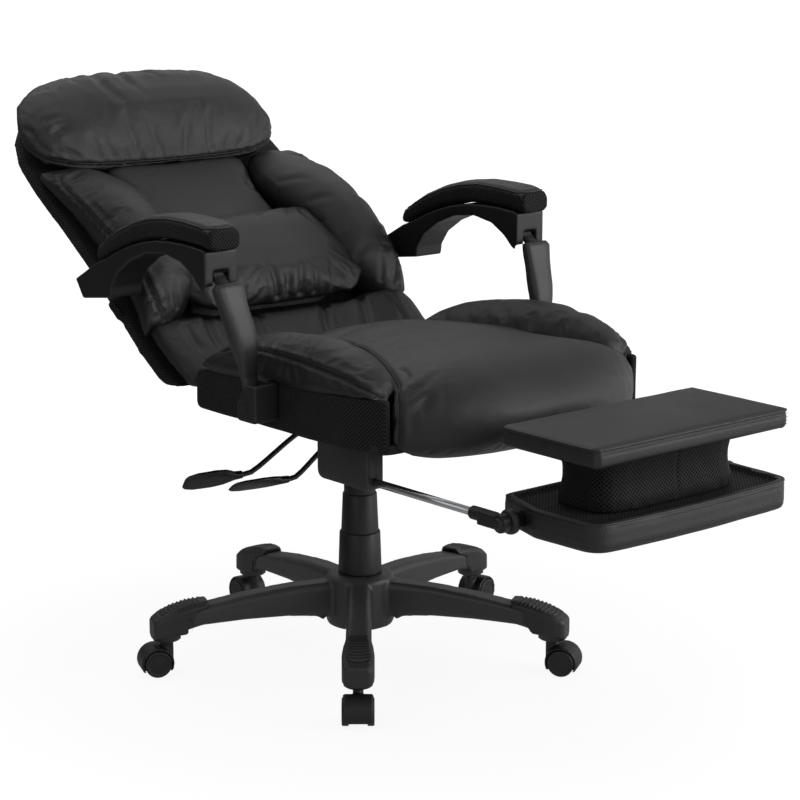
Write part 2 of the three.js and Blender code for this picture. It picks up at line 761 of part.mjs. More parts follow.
// The mechanism: a plate box with the piston's socket, lever pockets and hinge ears
function mechanism() {
  const top = panBottom - SEAT_GAP;
  const floor = socketBottom + SOCKET_LENGTH;
  const box = shapeOf([
    [-MECHANISM_FRONT, top],
    [-MECHANISM_FRONT, top - FLANGE_THICKNESS * 2],
    [-MECHANISM_FRONT / 2, floor],
    [MECHANISM_REAR / 2, floor],
    [MECHANISM_REAR, top - EAR_DROP],
    [MECHANISM_REAR, top],
  ]);
  const body = slabX(box, -MECHANISM_WIDTH / 2, MECHANISM_WIDTH / 2);
  const flange = block(
    point(-flangeWidth / 2, -MECHANISM_FRONT, top - FLANGE_THICKNESS),
    point(flangeWidth / 2, PAN_REAR - SEAT_GAP, top),
  );
  const socketTop = point(0, 0, top - FLANGE_THICKNESS);
  const socket = rod(point(0, 0, socketBottom), socketTop, SOCKET_RADIUS, 24);
  const ears = SIDES.flatMap(([, side]) => hingeEar(side));
  const bore = rod(
    point(0, 0, socketBottom - CUT_OVERRUN),
    point(0, 0, socketBottom + PISTON_SEAT),
    PISTON_RADIUS + SEAT_GAP,
    24,
  );
  const pinHole = rod(
    point(-flangeWidth, hinge.y, hinge.z),
    point(flangeWidth, hinge.y, hinge.z),
    HINGE_PIN_RADIUS + SEAT_GAP,
  );
  const pockets = [HEIGHT_LEVER_FORWARD, RECLINE_LEVER_FORWARD].map((forward) =>
    solid(
      rod(
        point(-MECHANISM_WIDTH / 2 - CUT_OVERRUN, -forward, leverHeight()),
        point(
          -MECHANISM_WIDTH / 2 + LEVER_PIVOT_DEPTH + LEVER_PIVOT_RADIUS + SEAT_GAP,
          -forward,
          leverHeight(),
        ),
        LEVER_PIVOT_RADIUS + RUNNING_GAP,
      ),
    ),
  );
  return cut(
    join(solid(body), solid(flange), solid(socket), ...ears),
    solid(bore),
    solid(pinHole),
    ...pockets,
  );
}

function leverHeight() {
  return panBottom - LEVER_DROP;
}

function hingeEar(side) {
  const outer = (side * (EAR_SPACING + EAR_THICKNESS)) / 2;
  const inner = (side * (EAR_SPACING - EAR_THICKNESS)) / 2;
  const foot = point(0, PAN_REAR - EAR_HALF_DEPTH, hinge.z - EAR_DROP - EAR_HALF_DEPTH);
  const line = new THREE.Vector3().subVectors(hinge, foot).normalize();
  const off = point(0, -line.z, line.y).multiplyScalar(EAR_HALF_DEPTH);
  const bar = shapeOf([
    [foot.y - off.y, foot.z - off.z],
    [hinge.y - off.y, hinge.z - off.z],
    [hinge.y + off.y, hinge.z + off.z],
    [foot.y + off.y, foot.z + off.z],
  ]);
  const top = panBottom - SEAT_GAP;
  const web = shapeOf([
    [MECHANISM_REAR / 2, top - FLANGE_THICKNESS],
    [MECHANISM_REAR / 2, top - EAR_DROP],
    [foot.y - off.y, foot.z - off.z],
    [foot.y + off.y, foot.z + off.z],
    [foot.y + off.y, top - FLANGE_THICKNESS / 2],
  ]);
  return [
    solid(slabX(bar, inner, outer)),
    solid(slabX(web, inner, outer)),
    solid(rod(point(inner, hinge.y, hinge.z), point(outer, hinge.y, hinge.z), HINGE_EYE_RADIUS)),
  ];
}

// Rows of [share of the way forward, half width share, floor share, top share] of the
// cushion: first over the pan, then the nose that falls over the pan's front edge
const cushionSeatShares = [
  [0, 0.57, 0.75, 0.5],
  [0.016, 0.61, 0.25, 0.62],
  [0.063, 0.645, 0, 0.75],
  [0.167, 0.664, 0, 0.87],
  [0.323, 0.672, 0, 0.945],
  [0.506, 0.687, 0, 0.985],
  [0.688, 0.721, 0, 1],
  [0.845, 0.779, 0, 0.995],
  [0.949, 0.845, 0, 0.985],
  [1, 0.925, 0, 0.965],
];
const cushionNoseShares = [
  [0, 0.94, -1, 0.955],
  [0.21, 0.885, -1, 0.915],
  [0.44, 0.785, -0.95, 0.83],
  [0.67, 0.665, -0.75, 0.7],
  [0.85, 0.52, -0.2, 0.54],
  [0.955, 0.4, 0.5, 0.41],
  [1, 0.27, 1.2, 0.32],
];

const cushionRear = PAN_REAR - CUSHION_REAR_SET;
const cushionEdge = panFront - SEAT_GAP;
const cushionFront = panFront - CUSHION_NOSE;

function seatCushion() {
  const rows = [
    ...cushionSeatShares.map(([share, ...row]) => [
      THREE.MathUtils.lerp(cushionRear, cushionEdge, share),
      ...row,
    ]),
    ...cushionNoseShares.map(([share, ...row]) => [
      THREE.MathUtils.lerp(cushionEdge - SEAT_GAP, cushionFront, share),
      ...row,
    ]),
  ];
  const rings = rows.map(([y, widthShare, floorShare, topShare]) => {
    const low = panTop + SEAT_GAP + floorShare * CUSHION_LIP;
    const high = panTop + topShare * CUSHION_HEIGHT;
    const half = (SEAT_WIDTH / 2) * widthShare;
    return padded(half, low, high, CUSHION_SEAM_SHARE, 24, 2.7, 5).map(([x, z]) => point(x, y, z));
  });
  return loft(rings);
}

// Height of the side panel's top edge at a place along the seat
function sidePanelTop(y) {
  const share = (PAN_REAR - y) / PAN_LENGTH;
  return panBottom + THREE.MathUtils.lerp(SIDE_PANEL_REAR_HEIGHT, SIDE_PANEL_FRONT_HEIGHT, share);
}

// Rows of [share of the way forward along the pan, top share]
const bolsterTopShares = [
  [0.037, 0.49],
  [0.098, 0.66],
  [0.196, 0.8],
  [0.342, 0.9],
  [0.513, 0.967],
  [0.66, 0.99],
  [0.795, 0.93],
  [0.892, 0.825],
  [0.954, 0.68],
  [0.993, 0.45],
];

// The bolster's rounded top from its outer edge: rows of [share across it, share of its height]
const bolsterRoundShares = [
  [0.96, 0],
  [1, 0.3],
  [0.95, 0.68],
  [0.78, 0.93],
  [0.5, 1],
  [0.22, 0.95],
  [0, 0.72],
];

function seatBolster() {
  const cushionWidth = smooth(cushionSeatShares.map(([share, widthShare]) => [share, widthShare]));
  const rings = bolsterTopShares.map(([share, topShare]) => {
    const y = PAN_REAR - PAN_LENGTH * share;
    const along = THREE.MathUtils.clamp((cushionRear - y) / (cushionRear - cushionEdge), 0, 1);
    const inner = (SEAT_WIDTH / 2) * (cushionWidth(along) - BOLSTER_TUCK_SHARE);
    const outer = SEAT_WIDTH / 2;
    const skirt = panWidth / 2 - SEAT_GAP;
    const low = panTop + SEAT_GAP;
    const shoulder = sidePanelTop(y) + SEAT_GAP;
    const high = panTop + BOLSTER_HEIGHT * topShare;
    const height = high - shoulder;
    const width = outer - inner;
    return [
      point(inner, y, low),
      point(skirt, y, low),
      point(skirt, y, shoulder),
      ...bolsterRoundShares.map(([across, up]) =>
        point(inner + width * across, y, shoulder + height * up),
      ),
    ];
  });
  return loft(rings);
}

function seatSidePanel() {
  const rear = PAN_REAR;
  const front = panFront;
  const low = panBottom + SEAT_GAP;
  const round = SIDE_PANEL_CORNER;
  const outline = new THREE.Shape();
  outline.moveTo(front, low);
  outline.lineTo(rear - round, low);
  outline.quadraticCurveTo(rear, low, rear, low + round);
  outline.lineTo(rear, sidePanelTop(rear) - round);
  outline.quadraticCurveTo(rear, sidePanelTop(rear), rear - round, sidePanelTop(rear));
  outline.lineTo(front, sidePanelTop(front));
  const inner = panWidth / 2 + SEAT_GAP;
  return slabX(outline, inner, inner + SIDE_PANEL_THICKNESS, SIDE_PANEL_THICKNESS / 6);
}

function railGuide() {
  const top = panBottom - SEAT_GAP;
  const low = top - GUIDE_HEIGHT;
  const outline = new THREE.Shape();
  outline.moveTo(-GUIDE_FRONT, top);
  outline.lineTo(-GUIDE_FRONT, low + GUIDE_ROUND / 4);
  outline.quadraticCurveTo(-GUIDE_FRONT, low, -GUIDE_FRONT + GUIDE_ROUND / 4, low);
  outline.lineTo(-GUIDE_REAR - GUIDE_ROUND, low);
  outline.quadraticCurveTo(-GUIDE_REAR, low, -GUIDE_REAR, low + GUIDE_ROUND);
  outline.lineTo(-GUIDE_REAR, top);
  const middle = rodSpacing / 2;
  const body = slabX(outline, middle - GUIDE_WIDTH / 2, middle + GUIDE_WIDTH / 2, GUIDE_ROUND / 10);
  const bore = rod(
    point(middle, -GUIDE_FRONT - CUT_OVERRUN, rodHeight),
    point(middle, -GUIDE_REAR + CUT_OVERRUN, rodHeight),
    ROD_RADIUS + RUNNING_GAP,
    12,
  );
  return geometryOf(cut(solid(body), solid(bore)));
}

function seatPan() {
  const half = panWidth / 2;
  const round = PAN_CORNER;
  const outline = new THREE.Shape();
  outline.moveTo(-half, PAN_REAR);
  outline.lineTo(-half, panFront + round);
  outline.quadraticCurveTo(-half, panFront, -half + round, panFront);
  outline.lineTo(half - round, panFront);
  outline.quadraticCurveTo(half, panFront, half, panFront + round);
  outline.lineTo(half, PAN_REAR);
  return slabZ(outline, panBottom, panTop);
}

function buildSeat() {
  add("mechanism_housing", mechanism(), steel);
  add("seat_pan", seatPan(), plywood);
  const pinHalf = (EAR_SPACING + EAR_THICKNESS) / 2 + EAR_THICKNESS;
  const pinEnds = [-pinHalf, pinHalf].map((x) => hinge.clone().setX(x));
  add("hinge_pin", rod(...pinEnds, HINGE_PIN_RADIUS), steel);
  const cushion = seatCushion();
  const bolster = seatBolster();
  const cushionCut = solid(grown(cushion, SEAT_GAP));
  add("seat_cushion", cushion, leather);
  for (const [name, side] of SIDES) {
    add(`rail_guide_${name}`, mirrored(railGuide(), side), plastic);
    add(`seat_bolster_${name}`, cut(solid(mirrored(bolster, side)), cushionCut), leather);
    add(`seat_side_panel_${name}`, mirrored(seatSidePanel(), side), meshCloth);
  }
}

// Rows of [share of the way out, share of the fall] of a lever's bent rod
const leverRouteShares = [
  [0, 0],
  [0.16, 0],
  [0.4, 0.22],
  [0.85, 0.92],
  [1, 1],
];

// A lever reaches out to the sitter's right: a bent rod and a paddle on its end
function leverRoute(forward, reach) {
  const start = -MECHANISM_WIDTH / 2 + LEVER_PIVOT_DEPTH;
  const end = -reach + PADDLE_LENGTH + 3 * RUNNING_GAP;
  return leverRouteShares.map(([out, fall]) =>
    point(THREE.MathUtils.lerp(start, end, out), -forward, leverHeight() - LEVER_FALL * fall),
  );
}

function leverRod(forward, reach) {
  const route = leverRoute(forward, reach);
  const path = new THREE.CatmullRomCurve3(route, false, "catmullrom", 0.5);
  const section = shapeOf(oval(LEVER_ROD_RADIUS, LEVER_ROD_RADIUS, 2, 8));
  const bar = new THREE.ExtrudeGeometry(section, {
    steps: 11,
    extrudePath: path,
    bevelEnabled: false,
  });
  const ball = new THREE.SphereGeometry(LEVER_PIVOT_RADIUS, 10, 7);
  ball.translate(route[0].x, route[0].y, route[0].z);
  return join(solid(bar), solid(ball));
}

// Rows of [share of the paddle's length, width share, thickness share]
const paddleRowShares = [
  [0, 0.34, 1],
  [0.14, 0.4, 1.1],
  [0.3, 0.85, 0.9],
  [0.5, 1, 0.8],
  [0.8, 0.96, 0.75],
  [0.95, 0.78, 0.6],
  [1, 0.5, 0.35],
];

function leverPaddle(forward, reach) {
  const low = leverHeight() - LEVER_FALL;
  const start = -reach + PADDLE_LENGTH;
  const rings = paddleRowShares.map(([share, widthShare, depthShare]) => {
    const x = start - PADDLE_LENGTH * share;
    const middle = low + (PADDLE_THICKNESS * share) / 2;
    const halfWidth = (PADDLE_WIDTH * widthShare) / 2;
    const halfDepth = (PADDLE_THICKNESS * depthShare) / 2;
    return oval(halfWidth, halfDepth, 3, 12).map(([y, z]) => point(x, y - forward, middle + z));
  });
  return loft(rings);
}

function buildLevers() {
  const levers = {
    height: [HEIGHT_LEVER_FORWARD, HEIGHT_LEVER_REACH],
    recline: [RECLINE_LEVER_FORWARD, RECLINE_LEVER_REACH],
  };
  for (const [name, place] of Object.entries(levers)) {
    add(`${name}_lever_rod`, leverRod(...place), steel);
    add(`${name}_lever_paddle`, leverPaddle(...place), plastic);
  }
}

// Pivots of the arm linkage, in the chair's side plane
const bracketPivot = point(armMiddle, -BRACKET_PIVOT_FORWARD, panBottom + BRACKET_PIVOT_RISE);
const armPivot = point(armMiddle, -ARM_PIVOT_FORWARD, panBottom + ARM_PIVOT_RISE);
const tailStud = point(armMiddle, TAIL_STUD_BACK, panBottom + TAIL_STUD_RISE);

// The cup on the seat's side that holds the strut's foot, with its pin
function armBracket() {
  const { y, z } = bracketPivot;
  const inner = SEAT_WIDTH / 2 + SEAT_GAP;
  const outer = inner + BRACKET_WIDTH;
  const front = y - BRACKET_FRONT_REACH;
  const rear = y + BRACKET_REAR_REACH;
  const low = z - BRACKET_BOTTOM_DROP;
  const high = z + BRACKET_TOP_RISE;
  const outline = new THREE.Shape();
  outline.moveTo(front, high);
  outline.lineTo(front, low + BRACKET_WALL);
  outline.quadraticCurveTo(front, low, front + BRACKET_WALL, low);
  outline.lineTo(rear - BRACKET_WALL, low);
  outline.quadraticCurveTo(rear, low, rear, low + BRACKET_WALL * 2);
  outline.lineTo(rear, z + BRACKET_WALL);
  outline.lineTo(y - BRACKET_WALL, high);
  const hollow = block(
    point(inner + BRACKET_WALL, front + BRACKET_FRONT_WALL, z - STRUT_EYE_RADIUS - RUNNING_GAP),
    point(outer - BRACKET_WALL, rear + CUT_OVERRUN, high + CUT_OVERRUN),
  );
  const ends = [inner + BRACKET_WALL / 2, outer - BRACKET_WALL / 2];
  const pin = rod(...ends.map((x) => point(x, y, z)), BRACKET_PIN_RADIUS);
  const cup = cut(solid(slabX(outline, inner, outer, BRACKET_WALL / 3)), solid(hollow));
  return geometryOf(join(cup, solid(pin)));
}

// Rows of [share of the way up, bow share, width share, depth share] of the strut's body
const strutRowShares = [
  [0, 0, 0.5, 0.5],
  [0.2, 0.15, 0.52, 0.54],
  [0.42, 0.7, 0.62, 0.8],
  [0.64, 1.1, 0.78, 1],
  [0.82, 1.5, 0.95, 1.1],
  [0.9, 1.7, 1, 1],
  [0.94, 1.75, 0.9, 0.7],
];

function armStrut() {
  const inner = armInner + STRUT_INNER_SET;
  const line = new THREE.Vector3().subVectors(armPivot, bracketPivot);
  const ahead = point(0, -line.z, line.y).normalize();
  const body = loft(
    strutRowShares.map(([share, bowShare, widthShare, depthShare]) => {
      const half = (STRUT_UPPER_WIDTH * widthShare) / 2;
      const middle = bracketPivot
        .clone()
        .addScaledVector(line, share * STRUT_BODY_SHARE)
        .addScaledVector(ahead, STRUT_BOW * bowShare)
        .setX(inner + half);
      return oval(half, (STRUT_DEPTH * depthShare) / 2, 3.5, 12).map(([x, d]) =>
        middle.clone().addScaledVector(ahead, d).setX(middle.x + x),
      );
    }),
  );
  const foot = rod(
    bracketPivot.clone().setX(inner),
    bracketPivot.clone().setX(inner + STRUT_LOWER_WIDTH),
    STRUT_EYE_RADIUS,
  );
  const neckHalf = STRUT_NECK_WIDTH / 2;
  const head = rod(
    armPivot.clone().setX(armMiddle - neckHalf),
    armPivot.clone().setX(armMiddle + neckHalf),
    STRUT_TOP_EYE_RADIUS,
  );
  const neckFoot = bracketPivot
    .clone()
    .addScaledVector(line, STRUT_NECK_START_SHARE)
    .addScaledVector(ahead, STRUT_BOW * STRUT_NECK_BOW_SHARE);
  const slope = new THREE.Vector3().subVectors(armPivot, neckFoot).normalize();
  const across = point(0, -slope.z, slope.y);
  const neck = loft(
    [neckFoot, armPivot].map((place) =>
      oval(neckHalf, STRUT_NECK_DEPTH / 2, 4, 8).map(([x, d]) =>
        place.clone().addScaledVector(across, d).setX(armMiddle + x),
      ),
    ),
  );
  const pinHoles = [
    [bracketPivot, BRACKET_PIN_RADIUS],
    [armPivot, ARM_PIN_RADIUS],
  ].map(([pivot, radius]) =>
    solid(
      rod(
        pivot.clone().setX(inner - ARM_WIDTH),
        pivot.clone().setX(inner + ARM_WIDTH),
        radius + RUNNING_GAP,
        12,
      ),
    ),
  );
  return geometryOf(cut(join(solid(body), solid(foot), solid(head), solid(neck)), ...pinHoles));
}

// The arm's outline, over its top and back along its underside:
// rows of [share of the length rearward, share of the height above the pivot]
const armTopShares = [
  [0.0, 0.92],
  [0.028, 1.0],
  [0.14, 1.07],
  [0.26, 1.08],
  [0.38, 1.01],
  [0.5, 0.83],
  [0.61, 0.56],
  [0.709, 0.25],
  [0.79, -0.05],
  [0.86, -0.25],
];
const armUnderShares = [
  [1.045, -1.05],
  [0.985, -1.75],
  [0.755, -1.5],
  [0.745, -1.05],
  [0.695, -0.5],
  [0.59, 0.05],
  [0.46, 0.45],
  [0.32, 0.58],
  [0.19, 0.4],
  [0.1, 0.0],
  [0.045, -0.4],
  [0.0, -0.62],
];

function armShell() {
  const face = armPivot.y - ARM_FACE_FORWARD;
  const places = [...armTopShares, ...armUnderShares].map(([a, b]) => [
    face + a * ARM_LENGTH,
    armPivot.z + b * ARM_HEIGHT,
  ]);
  const inner = armInner;
  const outer = armInner + ARM_WIDTH;
  const body = slabX(shapeOf(places), inner + CUP_WALL / 4, outer - CUP_WALL / 4, CUP_WALL / 4);
  const below = armPivot.z - ARM_HEIGHT * 2;
  const roof = armPivot.z + STRUT_TOP_EYE_RADIUS + 2 * RUNNING_GAP;
  const well = block(
    point(inner + CUP_WALL, face + CUP_WALL, below),
    point(outer - CUP_WALL, face + CUP_DEPTH, roof),
  );
  const slot = (STRUT_NECK_WIDTH + CUP_WALL) / 2;
  const notch = block(
    point(armMiddle - slot, face - CUT_OVERRUN, below),
    point(armMiddle + slot, face + CUP_WALL + CUT_OVERRUN, roof),
  );
  const sill = block(
    point(inner - CUT_OVERRUN, face - CUT_OVERRUN, below),
    point(outer + CUT_OVERRUN, face + CUP_WALL, armPivot.z - ARM_HEIGHT * ARM_SILL_SHARE),
  );
  const pin = rod(
    armPivot.clone().setX(inner + CUP_WALL / 2),
    armPivot.clone().setX(outer - CUP_WALL / 2),
    ARM_PIN_RADIUS,
  );
  const recess = rod(
    tailStud.clone().setX(inner - CUT_OVERRUN),
    tailStud.clone().setX(SEAT_WIDTH / 2 + TAIL_STUD_LENGTH + TAIL_STUD_PLAY),
    TAIL_STUD_RADIUS + TAIL_STUD_PLAY,
  );
  return geometryOf(
    join(cut(solid(body), solid(well), solid(notch), solid(sill), solid(recess)), solid(pin)),
  );
}

// Rows of [share of the length, top share, width share] of the arm pad
const padRowShares = [
  [0, 1.7, 0.86],
  [0.03, 1.85, 0.96],
  [0.1, 1.95, 1],
  [0.22, 2.0, 1.02],
  [0.36, 2.0, 1.02],
  [0.5, 1.88, 1.02],
  [0.64, 1.62, 1],
  [0.78, 1.2, 0.98],
  [0.9, 0.72, 0.94],
  [0.96, 0.45, 0.86],
  [1, 0.16, 0.62],
];

function armPad() {
  const front = armPivot.y - ARM_FACE_FORWARD - PAD_NOSE;
  const under = smooth(armTopShares);
  const rings = padRowShares.map(([share, topShare, widthShare]) => {
    const y = front + share * PAD_LENGTH;
    const along = THREE.MathUtils.clamp((y - front - PAD_NOSE) / ARM_LENGTH, 0, 1);
    const low = armPivot.z + under(along) * ARM_HEIGHT + 3 * SEAT_GAP;
    const high = armPivot.z + topShare * ARM_HEIGHT;
    const half = (ARM_WIDTH / 2) * widthShare;
    return padded(half, low, high, ARM_PAD_SEAM_SHARE, 16, 3.2).map(([x, z]) =>
      point(armMiddle + x, y, z),
    );
  });
  return loft(rings);
}

function buildArms() {
  for (const [name, side] of SIDES) {
    add(`arm_bracket_${name}`, mirrored(armBracket(), side), plastic);
    add(`arm_strut_${name}`, mirrored(armStrut(), side), plastic);
    add(`arm_shell_${name}`, mirrored(armShell(), side), plastic);
    add(`arm_pad_${name}`, mirrored(armPad(), side), leather);
  }
}

// The back is built upright in its own frame and laid back as one group.
const back = new THREE.Group();
back.position.copy(hinge);
back.rotation.x = THREE.MathUtils.degToRad(BACK_ELEVATION - 90);
chair.add(back);

function backPoint(x, n, u) {
  return point(x, -n, u);
}

// Place of a point of the chair in the back's frame, as [n, u]
function inBack(place) {
  const turn = THREE.MathUtils.degToRad(BACK_ELEVATION);
  const y = place.y - hinge.y;
  const z = place.z - hinge.z;
  return [-y * Math.sin(turn) + z * Math.cos(turn), y * Math.cos(turn) + z * Math.sin(turn)];
}

// Rows of [share of the back's length, half width share]
const shellRowShares = [
  [-0.05, 0.93],
  [0.02, 0.97],
  [0.08, 1],
  [0.16, 1.01],
  [0.3, 0.985],
  [0.46, 0.965],
  [0.6, 0.975],
  [0.72, 0.99],
  [0.82, 0.975],
  [0.9, 0.9],
  [0.96, 0.79],
  [1, 0.62],
];

// How far the shell's face lies behind the flat at a place across it
function shellDip(x) {
  return SHELL_HOLLOW * (1 - (x / (backWidth / 2)) ** 2);
}

function shellRing(u, widthShare) {
  const middle = SHELL_THICKNESS / 2 - SHELL_REAR;
  return oval((backWidth / 2) * widthShare, SHELL_THICKNESS / 2, 6, 20).map(([x, n]) =>
    backPoint(x, middle + n - shellDip(x), u),
  );
}

// The foot is cut level with the floor, as the back stands reclined.
function footCut(rise) {
  const size = BACK_LENGTH;
  const low = new THREE.BoxGeometry(size * 2, size * 2, size);
  low.translate(0, 0, rise - size / 2);
  low.rotateX(THREE.MathUtils.degToRad(90 - BACK_ELEVATION));
  return solid(low);
}

function shellBoard() {
  return loft(
    shellRowShares.map(([share, widthShare]) => shellRing(share * BACK_LENGTH, widthShare)),
  );
}

function backShell() {
  let body = cut(solid(shellBoard()), footCut(SHELL_FOOT_RISE));
  const [n, u] = inBack(tailStud);
  const half = TAIL_PLATE_WIDTH / 2;
  const side = SEAT_WIDTH / 2;
  const footSide = side * TAIL_FOOT_SHARE;
  for (const [, way] of SIDES) {
    const plate = block(
      backPoint(0, n + half, u - half).setX(way > 0 ? side - TAIL_PLATE_THICKNESS : -side),
      backPoint(0, -SHELL_REAR / 2, u + half).setX(way > 0 ? side : TAIL_PLATE_THICKNESS - side),
    );
    const foot = block(
      backPoint(0, SHELL_THICKNESS / 2 - SHELL_REAR, u - half).setX(way > 0 ? footSide : -side),
      backPoint(0, -SHELL_REAR / 2, u + half).setX(way > 0 ? side : -footSide),
    );
    const stud = rod(
      backPoint(way * (side - TAIL_PLATE_THICKNESS), n, u),
      backPoint(way * (side + TAIL_STUD_LENGTH), n, u),
      TAIL_STUD_RADIUS,
    );
    body = join(body, solid(plate), solid(foot), solid(stud));
  }
  return body;
}

function backBracket() {
  const plate = new THREE.BoxGeometry(
    backEyeSpacing + BACK_EYE_THICKNESS,
    BACK_PLATE_DEPTH,
    BACK_PLATE_THICKNESS,
  );
  plate.translate(0, BACK_PLATE_DEPTH / 4, SHELL_FOOT_RISE - SEAT_GAP - BACK_PLATE_THICKNESS / 2);
  const turn = THREE.MathUtils.degToRad(90 - BACK_ELEVATION);
  const parts = [solid(plate.rotateX(turn))];
  for (const [, side] of SIDES) {
    const inner = (side * (backEyeSpacing - BACK_EYE_THICKNESS)) / 2;
    const outer = (side * (backEyeSpacing + BACK_EYE_THICKNESS)) / 2;
    parts.push(solid(rod(point(inner, 0, 0), point(outer, 0, 0), HINGE_EYE_RADIUS)));
  }
  const bore = rod(
    point(-backEyeSpacing, 0, 0),
    point(backEyeSpacing, 0, 0),
    HINGE_PIN_RADIUS + RUNNING_GAP,
  );
  return cut(join(...parts), solid(bore));
}

// A pad that lies on the shell between two heights. Its rows are
// [share of the way up, half width share, thickness share].
function shellPad(rowShares, bottom, top, width, thickness, power, count) {
  const rest = SHELL_THICKNESS - SHELL_REAR - PAD_TUCK;
  const rings = rowShares.map(([share, widthShare, depthShare]) => {
    const u = THREE.MathUtils.lerp(bottom, top, share);
    const depth = thickness * depthShare + PAD_TUCK;
    return oval((width / 2) * widthShare, depth / 2, power, count).map(([x, n]) =>
      backPoint(x, rest + depth / 2 + n - shellDip(x), u),
    );
  });
  return loft(rings);
}

const centrePanelShares = [
  [0, 0.86, 0.7],
  [0.04, 0.88, 0.9],
  [0.45, 0.78, 1],
  [0.96, 0.86, 0.72],
  [1, 0.84, 0.5],
];

// The lower panel: rows of [share of the way up, half width share, thickness share]
const lowerPanelShares = [
  [0, 0.9, 0.45],
  [0.08, 0.96, 0.8],
  [0.35, 1, 1],
  [0.7, 1.02, 0.96],
  [0.92, 1.01, 0.8],
  [1, 0.99, 0.5],
];

// A wing: rows of [share of the way up, inner edge share, thickness share]
const wingRowShares = [
  [0, 0.35, 0.32],
  [0.04, 0.6, 0.55],
  [0.12, 0.9, 0.8],
  [0.24, 0.98, 0.98],
  [0.38, 0.92, 1],
  [0.52, 0.98, 0.95],
  [0.66, 1.1, 0.82],
  [0.8, 1.12, 0.6],
  [0.92, 1, 0.42],
  [1, 0.8, 0.24],
];

function backWing() {
  const rest = SHELL_THICKNESS - SHELL_REAR - PAD_TUCK;
  const halfShell = smooth(shellRowShares);
  const rings = wingRowShares.map(([share, innerShare, depthShare]) => {
    const u = THREE.MathUtils.lerp(WING_BOTTOM, WING_TOP, share);
    const outer = (backWidth / 2) * halfShell(u / BACK_LENGTH) - TAIL_PLATE_THICKNESS / 2;
    const inner = outer - WING_WIDTH * innerShare;
    const front = rest + WING_THICKNESS * depthShare;
    const middle = (inner + outer) / 2;
    return padded((outer - inner) / 2, rest, front, WING_SEAM_SHARE, 16, 2.8).map(([x, n]) =>
      backPoint(middle + x, n - shellDip(middle + x), u),
    );
  });
  return loft(rings);
}

// Pillows: rows of [share of the way up, half width share, rear share, front share]
const lumbarRowShares = [
  [0, 0.74, 0.35, 0.62],
  [0.06, 0.84, 0.12, 0.84],
  [0.2, 0.95, 0, 1],
  [0.45, 1.03, 0, 1],
  [0.7, 1.05, 0, 0.97],
  [0.88, 1.03, 0, 0.88],
  [0.97, 0.99, 0.02, 0.66],
  [1, 0.94, 0.1, 0.4],
];

const headRowShares = [
  [0, 0.52, 0.1, 0.3],
  [0.05, 0.74, 0, 0.5],
  [0.15, 0.93, 0, 0.76],
  [0.33, 1, 0, 0.95],
  [0.55, 0.975, 0, 1],
  [0.74, 0.9, 0.04, 0.97],
  [0.9, 0.75, 0.14, 0.84],
  [1, 0.53, 0.34, 0.6],
];

function pillow(rowShares, bottom, height, width, rest, thickness, power) {
  const rings = rowShares.map(([share, widthShare, rearShare, frontShare]) => {
    const u = bottom + height * share;
    const rear = rest + thickness * rearShare;
    const front = rest + thickness * frontShare;
    const half = (width / 2) * widthShare;
    const section = padded(half, rear, front, PILLOW_SEAM_SHARE, 24, power);
    return section.map(([x, n]) => backPoint(x, n, u));
  });
  return loft(rings);
}

function buildBack() {
  add("back_shell", backShell(), meshCloth, back);
  add("back_bracket", backBracket(), steel, back);
  const shellFront = SHELL_THICKNESS - SHELL_REAR;
  const head = pillow(
    headRowShares,
    HEAD_BOTTOM,
    HEAD_HEIGHT,
    headWidth,
    shellFront + 2 * SEAT_GAP,
    HEAD_THICKNESS,
    2.6,
  );
  const lumbar = pillow(
    lumbarRowShares,
    LUMBAR_BOTTOM,
    LUMBAR_HEIGHT,
    lumbarWidth,
    shellFront + CENTRE_PANEL_THICKNESS * LUMBAR_REST_SHARE,
    LUMBAR_THICKNESS,
    3,
  );
  const centre = shellPad(
    centrePanelShares,
    CENTRE_PANEL_BOTTOM,
    CENTRE_PANEL_TOP,
    centrePanelWidth,
    CENTRE_PANEL_THICKNESS,
    5,
    20,
  );
  const lower = shellPad(
    lowerPanelShares,
    -LOWER_PANEL_SKIRT,
    LOWER_PANEL_TOP,
    lowerPanelWidth,
    LOWER_PANEL_THICKNESS,
    4,
    20,
  );
  const wing = backWing();
  const wings = SIDES.map(([name, side]) => [name, mirrored(wing, side)]);
  const around = (...pieces) => pieces.map((piece) => solid(grown(piece, SEAT_GAP)));
  const wingCuts = around(...wings.map(([, geometry]) => geometry));
  const [shellCut, headCut, lumbarCut, centreCut] = around(shellBoard(), head, lumbar, centre);
  add("head_pillow", head, leather, back);
  const lumbarBody = cut(solid(lumbar), headCut, ...wingCuts);
  add("lumbar_pillow", largest(lumbarBody), leather, back);
  const centreBody = cut(solid(centre), shellCut, headCut, lumbarCut, ...wingCuts);
  add("back_centre_panel", largest(centreBody), leather, back);
  const foot = footCut(SHELL_FOOT_RISE);
  const lowerBody = cut(solid(lower), foot, shellCut, lumbarCut, centreCut, ...wingCuts);
  add("back_lower_panel", largest(lowerBody), leather, back);
  for (const [name, geometry] of wings) {
    add(`back_wing_${name}`, largest(cut(solid(geometry), shellCut, headCut)), leather, back);
  }
}

